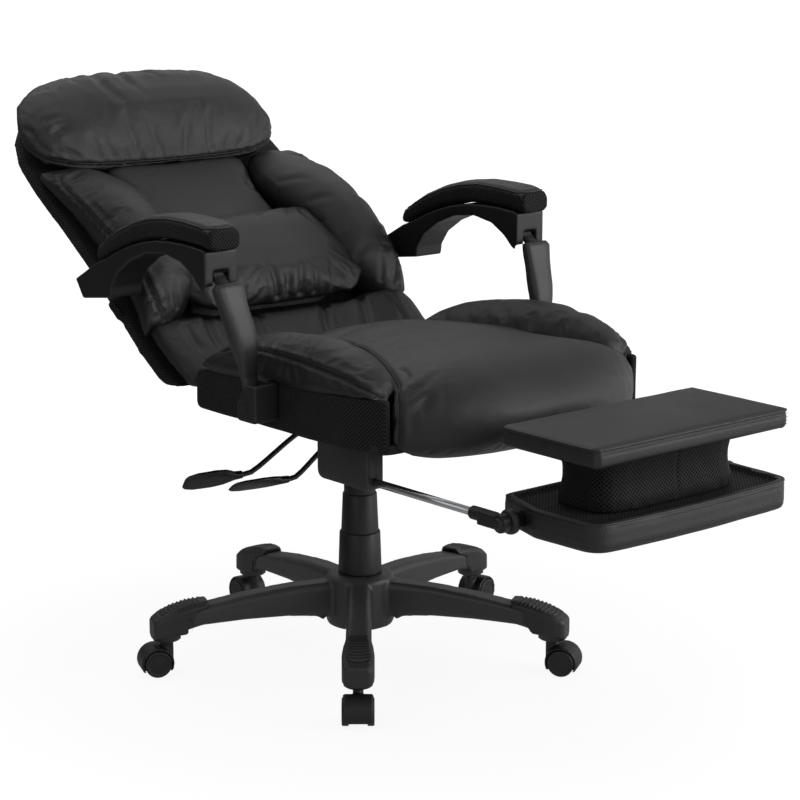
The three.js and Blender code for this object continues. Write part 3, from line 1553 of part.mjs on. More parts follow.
// The footrest: rods with their sockets, and a tray, neck and board on the knuckles
function trayShape(grow) {
  const half = trayWidth / 2 + grow;
  const rear = -trayRear + grow;
  const front = -trayRear - TRAY_LENGTH - grow;
  const shoulder = -trayRear - TRAY_CHAMFER_LENGTH;
  const round = TRAY_CORNER;
  const bow = TRAY_TAPER / 2;
  const tip = half - TRAY_TAPER;
  const shape = new THREE.Shape();
  shape.moveTo(-half + TRAY_CHAMFER_WIDTH, rear);
  shape.lineTo(-half, shoulder);
  shape.lineTo(-half + bow, front + round);
  shape.quadraticCurveTo(-tip, front + bow, -tip + round, front + bow);
  shape.quadraticCurveTo(0, front - bow, tip - round, front + bow);
  shape.quadraticCurveTo(tip, front + bow, half - bow, front + round);
  shape.lineTo(half, shoulder);
  shape.lineTo(half - TRAY_CHAMFER_WIDTH, rear);
  return shape;
}

function knuckleBall() {
  const x = rodSpacing / 2;
  const trayEdge = trayWidth / 2 - TRAY_CHAMFER_WIDTH;
  const ball = new THREE.SphereGeometry(1, 16, 10)
    .rotateZ(Math.PI / 2)
    .scale(KNUCKLE_HALF_WIDTH, KNUCKLE_RADIUS, KNUCKLE_RADIUS)
    .translate(x - KNUCKLE_HALF_WIDTH / 2, -KNUCKLE_REACH, rodHeight);
  const neck = rod(
    point(trayEdge, -KNUCKLE_REACH, rodHeight),
    point(x - KNUCKLE_HALF_WIDTH / 2, -KNUCKLE_REACH, rodHeight),
    KNUCKLE_FLANGE_RADIUS,
  );
  const tray = slabZ(trayShape(SEAT_GAP), rodHeight - TRAY_THICKNESS, rodHeight + TRAY_THICKNESS);
  const flat = x + KNUCKLE_FACE_SET;
  const far = KNUCKLE_RADIUS * 2;
  const beyond = block(
    point(flat, -KNUCKLE_REACH - far, rodHeight - far),
    point(x + far, -KNUCKLE_REACH + far, rodHeight + far),
  );
  return geometryOf(largest(cut(join(solid(ball), solid(neck)), solid(tray), solid(beyond))));
}

function knuckleSocket() {
  const x = rodSpacing / 2;
  const lugFace = x + KNUCKLE_FACE_SET + SEAT_GAP;
  const lugEnd = lugFace + SOCKET_LUG_THICKNESS;
  const start = -KNUCKLE_REACH + KNUCKLE_RADIUS + SEAT_GAP + SOCKET_SHANK_LENGTH;
  const shank = rod(
    point(x, start, rodHeight),
    point(x, -KNUCKLE_REACH + KNUCKLE_RADIUS + 2 * SEAT_GAP, rodHeight),
    SOCKET_SHANK_RADIUS,
  );
  const cheek = block(
    point(lugFace, -KNUCKLE_REACH, rodHeight - SOCKET_SHANK_RADIUS),
    point(lugEnd, start - SOCKET_SHANK_LENGTH / 2, rodHeight + SOCKET_SHANK_RADIUS),
  );
  const lug = rod(
    point(lugFace, -KNUCKLE_REACH, rodHeight),
    point(lugEnd, -KNUCKLE_REACH, rodHeight),
    SOCKET_LUG_RADIUS,
  );
  const cap = rod(
    point(lugEnd - SEAT_GAP, -KNUCKLE_REACH, rodHeight),
    point(lugEnd + KNUCKLE_CAP_HEIGHT, -KNUCKLE_REACH, rodHeight),
    KNUCKLE_CAP_RADIUS,
  );
  const bore = rod(
    point(x, start + CUT_OVERRUN, rodHeight),
    point(x, start - SOCKET_SHANK_LENGTH / 2, rodHeight),
    ROD_RADIUS + SEAT_GAP,
  );
  return geometryOf(cut(join(solid(shank), solid(cheek), solid(lug), solid(cap)), solid(bore)));
}

function footrestRod() {
  const x = rodSpacing / 2;
  const end = -KNUCKLE_REACH + KNUCKLE_RADIUS + 2 * SEAT_GAP + SOCKET_SHANK_LENGTH / 2;
  return rod(point(x, -ROD_REAR_FACE, rodHeight), point(x, end, rodHeight), ROD_RADIUS, 16);
}

const neckWaistShares = [0, 0.6, 1, 1, 0.6, 0];

function footrestNeck(low) {
  const middle = -trayRear - NECK_REAR_SET - NECK_DEPTH / 2;
  const rings = neckWaistShares.map((share, i) => {
    const z = low + (NECK_HEIGHT * i) / (neckWaistShares.length - 1);
    const draw = NECK_WAIST * share;
    const ring = oval(NECK_WIDTH / 2 - draw, NECK_DEPTH / 2 - draw, 4.5, 20);
    return ring.map(([x, y]) => point(x, middle + y, z));
  });
  return loft(rings);
}

function footrestBoard(low) {
  const half = BOARD_WIDTH / 2;
  const rear = -trayRear - BOARD_REAR_SET;
  const front = rear - BOARD_DEPTH;
  const round = BOARD_CORNER;
  const shape = new THREE.Shape();
  shape.moveTo(-half + round, rear);
  shape.quadraticCurveTo(-half, rear, -half, rear - round);
  shape.lineTo(-half, front + round);
  shape.quadraticCurveTo(-half, front, -half + round, front);
  shape.lineTo(half - round, front);
  shape.quadraticCurveTo(half, front, half, front + round);
  shape.lineTo(half, rear - round);
  shape.quadraticCurveTo(half, rear, half - round, rear);
  return slabZ(shape, low, low + BOARD_THICKNESS, BOARD_EDGE);
}

function buildFootrest() {
  for (const [name, side] of SIDES) {
    add(`footrest_rod_${name}`, mirrored(footrestRod(), side), chrome);
    add(`knuckle_socket_${name}`, mirrored(knuckleSocket(), side), darkPlastic);
    add(`knuckle_ball_${name}`, mirrored(knuckleBall(), side), darkPlastic);
  }
  const trayLow = rodHeight - TRAY_SINK;
  const trayTop = trayLow + TRAY_THICKNESS;
  add("footrest_tray", slabZ(trayShape(0), trayLow, trayTop, TRAY_EDGE), leather);
  const neckLow = trayTop + SEAT_GAP;
  add("footrest_neck", footrestNeck(neckLow), meshCloth);
  add("footrest_board", footrestBoard(neckLow + NECK_HEIGHT + SEAT_GAP), leather);
}

buildBase();
buildColumn();
buildSeat();
buildLevers();
buildArms();
buildBack();
buildFootrest();

// The origin is the middle of the chair's outer box, on the floor.
chair.updateMatrixWorld(true);
const bounds = new THREE.Box3().setFromObject(chair, true);
const centre = bounds.getCenter(new THREE.Vector3());
chair.position.set(-centre.x, -centre.y, -bounds.min.z);

export default chair;
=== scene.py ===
"""The looks of a reclining office chair with a footrest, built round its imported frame.

Lengths are metres in the frame's own axes: +Z is up, the sitter faces -Y, and +X is the
sitter's left. Names end in _l and _r for the sitter's left and right.
"""

import json
import math

import bmesh
import bpy
from mathutils import Matrix, Vector, noise
from mathutils.bvhtree import BVHTree
from mathutils.kdtree import KDTree


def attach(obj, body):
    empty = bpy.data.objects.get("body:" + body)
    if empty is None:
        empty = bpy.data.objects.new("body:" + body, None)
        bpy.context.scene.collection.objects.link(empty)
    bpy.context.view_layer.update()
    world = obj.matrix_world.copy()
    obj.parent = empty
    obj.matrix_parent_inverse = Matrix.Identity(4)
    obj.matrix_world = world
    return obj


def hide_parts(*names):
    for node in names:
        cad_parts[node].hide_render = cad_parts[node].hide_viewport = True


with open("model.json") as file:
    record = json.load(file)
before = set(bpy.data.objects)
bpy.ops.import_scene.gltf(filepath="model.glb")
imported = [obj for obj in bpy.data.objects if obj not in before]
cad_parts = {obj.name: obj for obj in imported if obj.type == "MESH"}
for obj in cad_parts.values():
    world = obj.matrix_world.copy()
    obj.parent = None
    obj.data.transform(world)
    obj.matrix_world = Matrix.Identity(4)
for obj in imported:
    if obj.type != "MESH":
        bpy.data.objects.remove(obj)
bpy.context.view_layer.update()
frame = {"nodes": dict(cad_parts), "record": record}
scene = bpy.context.scene

# Places and directions that the pieces share; the back leans as it is photographed
HINGE = Vector((-0.00595, 0.14271, 0.4247))  # middle of the back's hinge
COLUMN = Vector((-0.00595, 0.02271, 0))  # foot of the gas lift's axis
RECLINE = math.radians(36)  # the back's lean out of the upright
ACROSS = Vector((1, 0, 0))
REARWARD = Vector((0, 1, 0))
DOWN = Vector((0, 0, -1))
BACK_UP = Vector((0, math.cos(RECLINE), math.sin(RECLINE)))
BACK_OUT = Vector((0, -math.sin(RECLINE), math.cos(RECLINE)))
SIDES = {"l": 1, "r": -1}


# ---- materials


def feed(tree, node, inputs):
    """Puts values or links on a node's sockets."""
    for socket, value in inputs.items():
        if isinstance(value, bpy.types.NodeSocket):
            tree.links.new(value, node.inputs[socket])
        else:
            node.inputs[socket].default_value = value


def shader_node(tree, kind, inputs=None, **settings):
    """Adds a shader node, with its settings and what its sockets get."""
    made = tree.nodes.new("ShaderNode" + kind)
    for name, value in settings.items():
        setattr(made, name, value)
    feed(tree, made, inputs or {})
    return made


def calc(tree, operation, *values):
    """A sum, product or other operation on numbers or sockets."""
    made = shader_node(tree, "Math", dict(enumerate(values)), operation=operation)
    return made.outputs[0]


def remap(tree, value, old_low, old_high, new_low=0.0, new_high=1.0):
    """A number carried from one range into another."""
    sockets = ("Value", "From Min", "From Max", "To Min", "To Max")
    numbers = (value, old_low, old_high, new_low, new_high)
    return shader_node(tree, "MapRange", dict(zip(sockets, numbers))).outputs["Result"]


def cloudy(tree, place, scale, detail):
    """A noise that clouds over a surface."""
    return shader_node(tree, "TexNoise", {"Vector": place, "Scale": scale, "Detail": detail})


def new_group(name, inputs, outputs):
    """An empty node group. Inputs are {name: start value}, with None for a vector."""
    tree = bpy.data.node_groups.new(name, "ShaderNodeTree")
    for label, value in inputs.items():
        kind = "NodeSocketVector" if value is None else "NodeSocketFloat"
        socket = tree.interface.new_socket(label, in_out="INPUT", socket_type=kind)
        if value is not None:
            socket.default_value = value
    for label in outputs:
        tree.interface.new_socket(label, in_out="OUTPUT", socket_type="NodeSocketFloat")
    return tree, tree.nodes.new("NodeGroupInput"), tree.nodes.new("NodeGroupOutput")


def leather_grain():
    """Pebbled grain: its height, and where its hollows and rubbed places are."""
    tree, start, end = new_group(
        "leather grain", {"Place": None, "Pebbles": 700.0}, ["Height", "Hollows", "Rubbed"]
    )
    place, pebbles = start.outputs["Place"], start.outputs["Pebbles"]
    warp = cloudy(tree, place, 180.0, 2.0)
    shift = shader_node(
        tree, "VectorMath", {0: warp.outputs["Color"], "Scale": 0.0009}, operation="SCALE"
    )
    bent = shader_node(tree, "VectorMath", {0: place, 1: shift.outputs[0]}, operation="ADD")
    cells = shader_node(
        tree,
        "TexVoronoi",
        {"Vector": bent.outputs[0], "Scale": pebbles, "Randomness": 0.9},
        feature="DISTANCE_TO_EDGE",
    )
    pebble = remap(tree, cells.outputs["Distance"], 0.0, 0.22)
    waves = cloudy(tree, place, 34.0, 3.0).outputs[0]
    broad = cloudy(tree, place, 9.0, 4.0).outputs[0]
    masks = {
        "Height": calc(tree, "MULTIPLY_ADD", pebble, 0.45, waves),
        "Hollows": calc(tree, "SUBTRACT", 1.0, pebble),
        "Rubbed": remap(tree, broad, 0.35, 0.7),
    }
    feed(tree, end, masks)
    return tree


def moulded_skin():
    """The fine spark-eroded skin of moulded plastic, with faint flow marks."""
    tree, start, end = new_group(
        "moulded skin", {"Place": None, "Fineness": 1400.0}, ["Height", "Flow"]
    )
    place = start.outputs["Place"]
    fine = cloudy(tree, place, start.outputs["Fineness"], 2.0)
    flow = cloudy(tree, place, 14.0, 5.0)
    feed(tree, end, {"Height": fine.outputs[0], "Flow": flow.outputs[0]})
    return tree


def open_weave():
    """A net of crossing threads with round holes, on a map measured in metres."""
    tree, start, end = new_group(
        "open weave", {"Map": None, "Pitch": 0.0042}, ["Height", "Holes"]
    )
    parts = shader_node(tree, "SeparateXYZ", {0: start.outputs["Map"]})
    turns = calc(tree, "DIVIDE", math.pi, start.outputs["Pitch"])
    waves = []
    for operation in ("ADD", "SUBTRACT"):
        slant = calc(tree, operation, parts.outputs[0], parts.outputs[1])
        wave = calc(tree, "SINE", calc(tree, "MULTIPLY", slant, turns))
        waves.append(calc(tree, "ABSOLUTE", wave))
    crossing = calc(tree, "MULTIPLY", *waves)
    holes = remap(tree, crossing, 0.35, 0.62)
    feed(tree, end, {"Height": calc(tree, "SUBTRACT", 1.0, holes), "Holes": holes})
    return tree


def edge_wear():
    """Edges that hands and clothes have polished, between 0 and 1."""
    tree, _, end = new_group("edge wear", {}, ["Worn"])
    shape = shader_node(tree, "NewGeometry")
    feed(tree, end, {"Worn": remap(tree, shape.outputs["Pointiness"], 0.51, 0.6)})
    return tree


groups = {
    "grain": leather_grain(),
    "moulded": moulded_skin(),
    "weave": open_weave(),
    "wear": edge_wear(),
}


def new_material(name):
    material = bpy.data.materials.new(name)
    material.use_nodes = True
    tree = material.node_tree
    tree.nodes.clear()
    skin = shader_node(tree, "BsdfPrincipled")
    out = shader_node(tree, "OutputMaterial")
    tree.links.new(skin.outputs[0], out.inputs["Surface"])
    return material, tree, skin


def placed_group(tree, name, inputs=None):
    return shader_node(tree, "Group", inputs, node_tree=groups[name])


def mix_of(tree, share, dark, light):
    """A colour between two, by a share."""
    made = shader_node(tree, "Mix", data_type="RGBA")
    feed(tree, made, {"Factor": share, 6: (*dark, 1.0), 7: (*light, 1.0)})
    return made.outputs[2]


def skinned(tree, skin, colour, finish, height, strength, distance):
    """Gives a skin its colour, its roughness and its relief."""
    bump = shader_node(
        tree, "Bump", {"Height": height, "Strength": strength, "Distance": distance}
    )
    feed(tree, skin, {"Base Color": colour, "Roughness": finish, "Normal": bump.outputs[0]})


def make_leather(name, dark, light, smooth, rough):
    material, tree, skin = new_material(name)
    place = shader_node(tree, "TexCoord").outputs["Object"]
    grain = placed_group(tree, "grain", {"Place": place, "Pebbles": 700.0})
    worn = placed_group(tree, "wear").outputs["Worn"]
    colour = mix_of(tree, grain.outputs["Rubbed"], dark, light)
    mean = calc(tree, "MULTIPLY_ADD", grain.outputs["Rubbed"], -0.5, 0.75)
    dull = calc(tree, "MULTIPLY_ADD", grain.outputs["Hollows"], 0.25, mean)
    polished = calc(tree, "MULTIPLY_ADD", worn, -0.25, dull)
    finish = remap(tree, polished, 0.0, 1.0, smooth, rough)
    skinned(tree, skin, colour, finish, grain.outputs["Height"], 0.5, 0.0006)
    return material


def make_plastic(name, dark, light, smooth, rough, fineness=1400.0):
    material, tree, skin = new_material(name)
    place = shader_node(tree, "TexCoord").outputs["Object"]
    moulded = placed_group(tree, "moulded", {"Place": place, "Fineness": fineness})
    worn = placed_group(tree, "wear").outputs["Worn"]
    shade = calc(tree, "MULTIPLY_ADD", worn, 0.4, moulded.outputs["Flow"])
    colour = mix_of(tree, remap(tree, shade, 0.3, 0.9), dark, light)
    finish = remap(tree, moulded.outputs["Flow"], 0.3, 0.7, smooth, rough)
    skinned(tree, skin, colour, finish, moulded.outputs["Height"], 0.35, 0.00025)
    return material


def make_mesh_cloth(name, pitch):
    material, tree, skin = new_material(name)
    chart = shader_node(tree, "UVMap", uv_map="weave").outputs[0]
    place = shader_node(tree, "TexCoord").outputs["Object"]
    weave = placed_group(tree, "weave", {"Map": chart, "Pitch": pitch})
    grain = placed_group(tree, "grain", {"Place": place, "Pebbles": 900.0})
    lit = calc(tree, "MULTIPLY_ADD", grain.outputs["Rubbed"], 0.25, 0.0)
    share = calc(tree, "ADD", weave.outputs["Holes"], lit)
    colour = mix_of(tree, share, (0.017, 0.017, 0.0178), (0.0012, 0.0012, 0.0013))
    finish = remap(tree, weave.outputs["Holes"], 0.0, 1.0, 0.55, 0.95)
    skinned(tree, skin, colour, finish, weave.outputs["Height"], 0.9, 0.0009)
    skin.inputs["Specular IOR Level"].default_value = 0.2
    skin.inputs["Sheen Weight"].default_value = 0.03
    skin.inputs["Sheen Roughness"].default_value = 0.4
    return material


def make_metal(name, colour, darker, metallic, smooth, rough, spread=(1.0, 1.0, 1.0)):
    """Metal or paint on metal, with fine marks that run along an axis."""
    material, tree, skin = new_material(name)
    place = shader_node(tree, "TexCoord").outputs["Object"]
    stretched = shader_node(tree, "Mapping", {"Vector": place, "Scale": spread})
    marks = cloudy(tree, stretched.outputs[0], 420.0, 3.0).outputs[0]
    finish = remap(tree, marks, 0.3, 0.7, smooth, rough)
    skinned(tree, skin, mix_of(tree, marks, darker, colour), finish, marks, 0.12, 0.00008)
    skin.inputs["Metallic"].default_value = metallic
    return material


leather = make_leather(
    "black leather", (0.0085, 0.0085, 0.0089), (0.012, 0.012, 0.0125), 0.31, 0.46
)
glossy_leather = make_leather(
    "glossy black leather", (0.010, 0.010, 0.0105), (0.013, 0.013, 0.0135), 0.26, 0.42
)
mesh_cloth = make_mesh_cloth("black mesh cloth", 0.0058)
plastic = make_plastic(
    "satin black plastic", (0.019, 0.019, 0.0195), (0.03, 0.03, 0.0305), 0.42, 0.52
)
# Satin black plastic painted lighter than the rest: painted light that makes up for the seat's
# shadow over the star base and its hub.
base_plastic_painted_lighter = make_plastic(
    "base plastic painted lighter", (0.036, 0.036, 0.0365), (0.048, 0.048, 0.0485), 0.38, 0.48
)
pale_plastic = make_plastic(
    "pale satin plastic", (0.02, 0.02, 0.0205), (0.028, 0.028, 0.0285), 0.4, 0.5
)
glossy_plastic = make_plastic(
    "glossy black plastic", (0.008, 0.008, 0.0082), (0.012, 0.012, 0.0122), 0.22, 0.34
)
shell_plastic = make_plastic(
    "arm plastic", (0.0045, 0.0045, 0.0046), (0.0075, 0.0075, 0.0076), 0.4, 0.5
)
dark_plastic = make_plastic(
    "matt black plastic", (0.007, 0.007, 0.0072), (0.012, 0.012, 0.0122), 0.44, 0.56
)
thread = make_plastic("black thread", (0.02, 0.02, 0.0205), (0.045, 0.045, 0.046), 0.45, 0.65)
steel = make_metal(
    "black painted steel", (0.016, 0.016, 0.017), (0.009, 0.009, 0.0095), 0.0, 0.3, 0.42
)
chrome = make_metal(
    "polished chrome", (0.62, 0.63, 0.645), (0.46, 0.465, 0.475), 1.0, 0.2, 0.3, (1.0, 0.05, 1.0)
)
lining = make_plastic(
    "black lining", (0.006, 0.006, 0.006), (0.012, 0.012, 0.012), 0.8, 0.95, 600.0
)

by_slot = {
    "leather": leather,
    "mesh_cloth": mesh_cloth,
    "plastic": plastic,
    "dark_plastic": dark_plastic,
    "steel": steel,
    "chrome": chrome,
    "plywood": lining,
}
slot_of = {part["node"]: part["material_slot"] for part in frame["record"]["subparts"]}
body_of = {
    node: body
    for body, nodes in frame["record"]["behaviour"]["bodies"].items()
    for node in nodes
}


# ---- making pieces


def new_piece(name, mesh):
    piece = bpy.data.objects.new(name, mesh)
    scene.collection.objects.link(piece)
    return piece


def shaped(name, bm):
    """An object from a bmesh, its faces smooth and pointing outwards."""
    mesh = bpy.data.meshes.new(name)
    bmesh.ops.recalc_face_normals(bm, faces=bm.faces)
    bm.to_mesh(mesh)
    bm.free()
    mesh.shade_smooth()
    return new_piece(name, mesh)


def baked(piece):
    """Takes the piece's modifiers into its mesh."""
    graph = bpy.context.evaluated_depsgraph_get()
    mesh = bpy.data.meshes.new_from_object(piece.evaluated_get(graph))
    piece.modifiers.clear()
    old = piece.data
    piece.data = mesh
    bpy.data.meshes.remove(old)


def with_modifier(piece, kind, **settings):
    modifier = piece.modifiers.new(kind.title(), kind)
    for name, value in settings.items():
        setattr(modifier, name, value)
    baked(piece)


def dressed(piece, material, node):
    """The piece stands for a CAD node: it takes the given materials, rides on the node's body, and
    the node is hidden.
    """
    piece.data.materials.clear()
    for part in material if isinstance(material, list) else [material]:
        piece.data.materials.append(part)
    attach(piece, body_of[node])
    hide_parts(node)


def upholstered(piece, material, node):
    """A padded cover that stands for a CAD node."""
    dressed(piece, material, node)


def trimmed(piece, material, body):
    """A small piece of its own, such as piping, that rides on a body."""
    piece.data.materials.clear()
    piece.data.materials.append(material)
    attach(piece, body)
    return piece


def cad_copy(node):
    """A copy of a CAD node's own shape, its loose triangles merged."""
    bm = bmesh.new()
    bm.from_mesh(frame["nodes"][node].data)
    bmesh.ops.remove_doubles(bm, verts=bm.verts, dist=1e-5)
    return bm


def rounded(name, node, voxel, passes):
    """A node's shape with a fine even skin, and its edges softened by smoothing."""
    piece = shaped(name, cad_copy(node))
    with_modifier(piece, "REMESH", mode="VOXEL", voxel_size=voxel, use_smooth_shade=True)
    with_modifier(piece, "SMOOTH", factor=0.5, iterations=passes)
    piece.data.shade_smooth()
    return piece


def moved_points(piece, rule):
    """Moves each point of a piece along its normal by rule(place, normal)."""
    mesh = piece.data
    normals = [Vector(n.vector) for n in mesh.vertex_normals]
    for vertex, normal in zip(mesh.vertices, normals):
        vertex.co += normal * rule(vertex.co, normal)
    mesh.update()


def shifted(piece, rule):
    """Moves each point of a piece by the vector rule(place)."""
    for vertex in piece.data.vertices:
        vertex.co += rule(vertex.co)


COVER_STEPS = 20  # frames in which a cover fills out


def blown(piece, pressure, slack, cap, held=None):
    """Lets a cover fill out under its stuffing; no point goes further than the cap."""
    start = [vertex.co.copy() for vertex in piece.data.vertices]
    cloth = piece.modifiers.new("Cover", "CLOTH")
    settings = cloth.settings
    settings.quality = 4
    settings.mass = 0.3
    settings.tension_stiffness = settings.compression_stiffness = 12
    settings.shear_stiffness = 4
    settings.bending_stiffness = 0.3
    settings.shrink_min = -slack
    settings.use_pressure = True
    settings.uniform_pressure_force = pressure
    settings.effector_weights.gravity = 0
    if held:
        group = piece.vertex_groups.new(name="seam")
        for vertex in piece.data.vertices:
            if held(vertex.co):
                group.add([vertex.index], 1.0, "REPLACE")
        settings.vertex_group_mass = group.name
    cloth.point_cache.frame_start = 1
    cloth.point_cache.frame_end = COVER_STEPS
    for step in range(1, COVER_STEPS + 1):
        scene.frame_set(step)
    baked(piece)
    for vertex, place in zip(piece.data.vertices, start):
        move = vertex.co - place
        if move.length > cap:
            vertex.co = place + move * (cap / move.length)
    scene.frame_set(1)
    piece.vertex_groups.clear()
    piece.data.update()


def surface(piece):
    return BVHTree.FromPolygons(
        [vertex.co for vertex in piece.data.vertices],
        [polygon.vertices for polygon in piece.data.polygons],
    )


def spaced(points, step):
    """Points at an even step along a line of points."""
    lengths = [0.0]
    for a, b in zip(points, points[1:]):
        lengths.append(lengths[-1] + (b - a).length)
    count = max(2, round(lengths[-1] / step) + 1)
    found, i = [], 0
    for k in range(count):
        at = lengths[-1] * k / (count - 1)
        while i < len(points) - 2 and lengths[i + 1] < at:
            i += 1
        span = lengths[i + 1] - lengths[i] or 1.0
        found.append(points[i].lerp(points[i + 1], (at - lengths[i]) / span))
    return found


def curved(points, step):
    """A smooth line through points, closed if the last is the first."""
    closed = (points[0] - points[-1]).length < 1e-6
    ring = points[:-1] if closed else points
    count = len(ring)
    found = []
    for i in range(count if closed else count - 1):
        if closed:
            four = [ring[(i + k) % count] for k in (-1, 0, 1, 2)]
        else:
            four = [ring[min(max(i + k, 0), count - 1)] for k in (-1, 0, 1, 2)]
        a, b, c, d = four
        for k in range(12):
            t = k / 12
            found.append(
                0.5
                * (
                    2 * b
                    + (c - a) * t
                    + (2 * a - 5 * b + 4 * c - d) * t * t
                    + (3 * b - a - 3 * c + d) * t * t * t
                )
            )
    found.append(points[-1].copy())
    return spaced(found, step)


FAR = 0.6  # from outside each piece, where a look at its skin starts


def laid(tree, points, inwards, lift=0.0):
    """Lays a line of points on a skin, looking along a direction."""
    found = []
    for point in points:
        hit, normal, _, _ = tree.ray_cast(point - inwards * FAR, inwards)
        if hit is None:
            hit, normal, _, _ = tree.find_nearest(point)
        found.append(hit + normal * lift)
    return found


def laid_near(tree, points, lift=0.0):
    """Lays points on the nearest places of a skin."""
    found = []
    for point in points:
        hit, normal, _, _ = tree.find_nearest(point)
        found.append(hit + normal * lift)
    return found


def evened(tree, line, passes=6, lift=0.0):
    """Takes the jitter out of a line on a skin."""
    for _ in range(passes):
        inner = [(a + b * 2 + c) / 4 for a, b, c in zip(line, line[1:], line[2:])]
        line = [line[0]] + inner + [line[-1]]
    return laid_near(tree, line, lift)


def beside(tree, line, gap):
    """The line moved sideways over a skin by a gap."""
    found = []
    for i, point in enumerate(line):
        along = (line[min(i + 1, len(line) - 1)] - line[max(i - 1, 0)]).normalized()
        hit, normal, _, _ = tree.find_nearest(point)
        hit = tree.find_nearest(hit + normal.cross(along).normalized() * gap)[0]
        found.append(hit)
    return found


def ring(tree, centre, up, lift=0.0):
    """The closed outline of a piece, from a centre, in the plane across and up."""
    found = []
    rays = 144
    for k in range(rays):
        angle = 2 * math.pi * k / rays
        way = ACROSS * math.cos(angle) + up * math.sin(angle)
        hit, _, _, _ = tree.ray_cast(centre + way * FAR, -way)
        if hit is not None:
            found.append(hit + way * lift)
    found.append(found[0].copy())
    return spaced(found, 0.004)


def level_ring(tree, middle, height, lift=0.0):
    """The outline of a flat piece at a height above its middle."""
    return ring(tree, middle + Vector((0, 0, height)), REARWARD, lift)


def ease(t):
    """A soft step from 0 to 1."""
    t = min(max(t, 0.0), 1.0)
    return t * t * (3 - 2 * t)


def folded(piece, folds):
    """Presses folds into a skin. Each is (line, depth, width, fade at start, fade at end):
    a soft valley along the line with a shoulder on each side."""
    mesh = piece.data
    normals = [Vector(n.vector) for n in mesh.vertex_normals]
    shifts = [0.0] * len(normals)
    skin = KDTree(len(mesh.vertices))
    for vertex in mesh.vertices:
        skin.insert(vertex.co, vertex.index)
    skin.balance()
    for line, depth, width, fade_in, fade_out in folds:
        places = spaced(line, width * 0.5)
        nearest = {}
        last = len(places) - 1
        for i, point in enumerate(places):
            for _, index, away in skin.find_range(point, width * 4):
                if index not in nearest or away < nearest[index][0]:
                    nearest[index] = (away, i / last)
        for index, (away, share) in nearest.items():
            fade = ease(share / fade_in if fade_in else 1.0)
            fade *= ease((1 - share) / fade_out if fade_out else 1.0)
            valley = math.exp(-((away / width) ** 2))
            shoulder = math.exp(-(((away - 2.1 * width) / (1.1 * width)) ** 2))
            shifts[index] -= depth * fade * (valley - 0.3 * shoulder)
    for vertex, normal, shift in zip(mesh.vertices, normals, shifts):
        if shift:
            vertex.co += normal * shift
    mesh.update()


def gathers(tree, line, reach, gap, seed, way, depth, width):
    """Short uneven folds, a gap apart, that run off a seam to the side that way (1, -1) says."""
    places = spaced(line, gap)
    folds = []
    for k in range(1, len(places) - 1):
        spot = (k * 1.73 + 0.31, seed * 5.1 + 0.7)
        chance = [noise.noise(Vector((*spot, m + 0.4))) for m in range(3)]
        along = (places[k + 1] - places[k - 1]).normalized()
        hit, normal, _, _ = tree.find_nearest(places[k] + along * gap * chance[0])
        side = normal.cross(along).normalized() * way + along * chance[1]
        long = reach * (0.75 + chance[2])
        run = laid_near(tree, [hit + side * long * t / 5 for t in range(6)])
        folds.append((run, depth * (0.8 + chance[1]), width, 0.0, 1.0))
    return folds


def near(lines, reach):
    """Tells whether a place lies close to any of some lines."""
    places = [place for line in lines for place in line]
    tree = KDTree(len(places))
    for i, place in enumerate(places):
        tree.insert(place, i)
    tree.balance()
    return lambda place: tree.find(place)[2] < reach


def joined(name, pieces):
    """One piece from several that share their material, body and slot."""
    bm = bmesh.new()
    for piece in pieces:
        bm.from_mesh(piece.data)
    return shaped(name, bm)


def welted(name, cords, body):
    """One piece of leather from cords that run side by side."""
    trimmed(joined(name, cords), leather, body)
    for cord in cords:
        bpy.data.objects.remove(cord)


def piping(name, line, radius, body, material=None, closed=False):
    """A round cord of leather sewn in along a line."""
    curve = bpy.data.curves.new(name, "CURVE")
    curve.dimensions = "3D"
    curve.bevel_depth = radius
    curve.bevel_resolution = 2
    curve.use_fill_caps = True
    points = line[:-1] if closed else line
    spline = curve.splines.new("POLY")
    spline.points.add(len(points) - 1)
    for point, place in zip(spline.points, points):
        point.co = (*place, 1.0)
    spline.use_cyclic_u = closed
    drawn = bpy.data.objects.new(name + "_line", curve)
    scene.collection.objects.link(drawn)
    graph = bpy.context.evaluated_depsgraph_get()
    mesh = bpy.data.meshes.new_from_object(drawn.evaluated_get(graph))
    bpy.data.objects.remove(drawn)
    mesh.shade_smooth()
    return trimmed(new_piece(name, mesh), material or leather, body)


def stitched(name, lines, body, step=0.0042, long=0.0028, thick=0.00045):
    """Rows of short stitches that lie along lines, in one piece."""
    bm = bmesh.new()
    for line in lines:
        places = spaced(line, step)
        for a, b in zip(places, places[1:]):
            along = (b - a).normalized()
            turn = along.to_track_quat("Z", "Y").to_matrix().to_4x4()
            size = Matrix.Diagonal((thick, thick, long / 2, 1))
            bmesh.ops.create_uvsphere(
                bm,
                u_segments=6,
                v_segments=4,
                radius=1,
                matrix=Matrix.Translation((a + b) / 2) @ turn @ size,
            )
    trimmed(shaped(name, bm), thread, body)


def weave_map(piece, tilt=0.0):
    """Maps each face flat, in metres, on the plane that it faces most."""
    mesh = piece.data
    layer = mesh.uv_layers.new(name="weave")
    turn = Matrix.Rotation(tilt, 3, "X")
    for polygon in mesh.polygons:
        normal = turn @ polygon.normal
        facing = max(range(3), key=lambda axis: abs(normal[axis]))
        for loop in polygon.loop_indices:
            place = turn @ mesh.vertices[mesh.loops[loop].vertex_index].co
            pair = [place[axis] for axis in range(3) if axis != facing]
            layer.data[loop].uv = pair


def painted(piece, rule):
    """Gives each face one of the piece's materials, by rule(centre, normal)."""
    for polygon in piece.data.polygons:
        polygon.material_index = rule(polygon.center, polygon.normal)


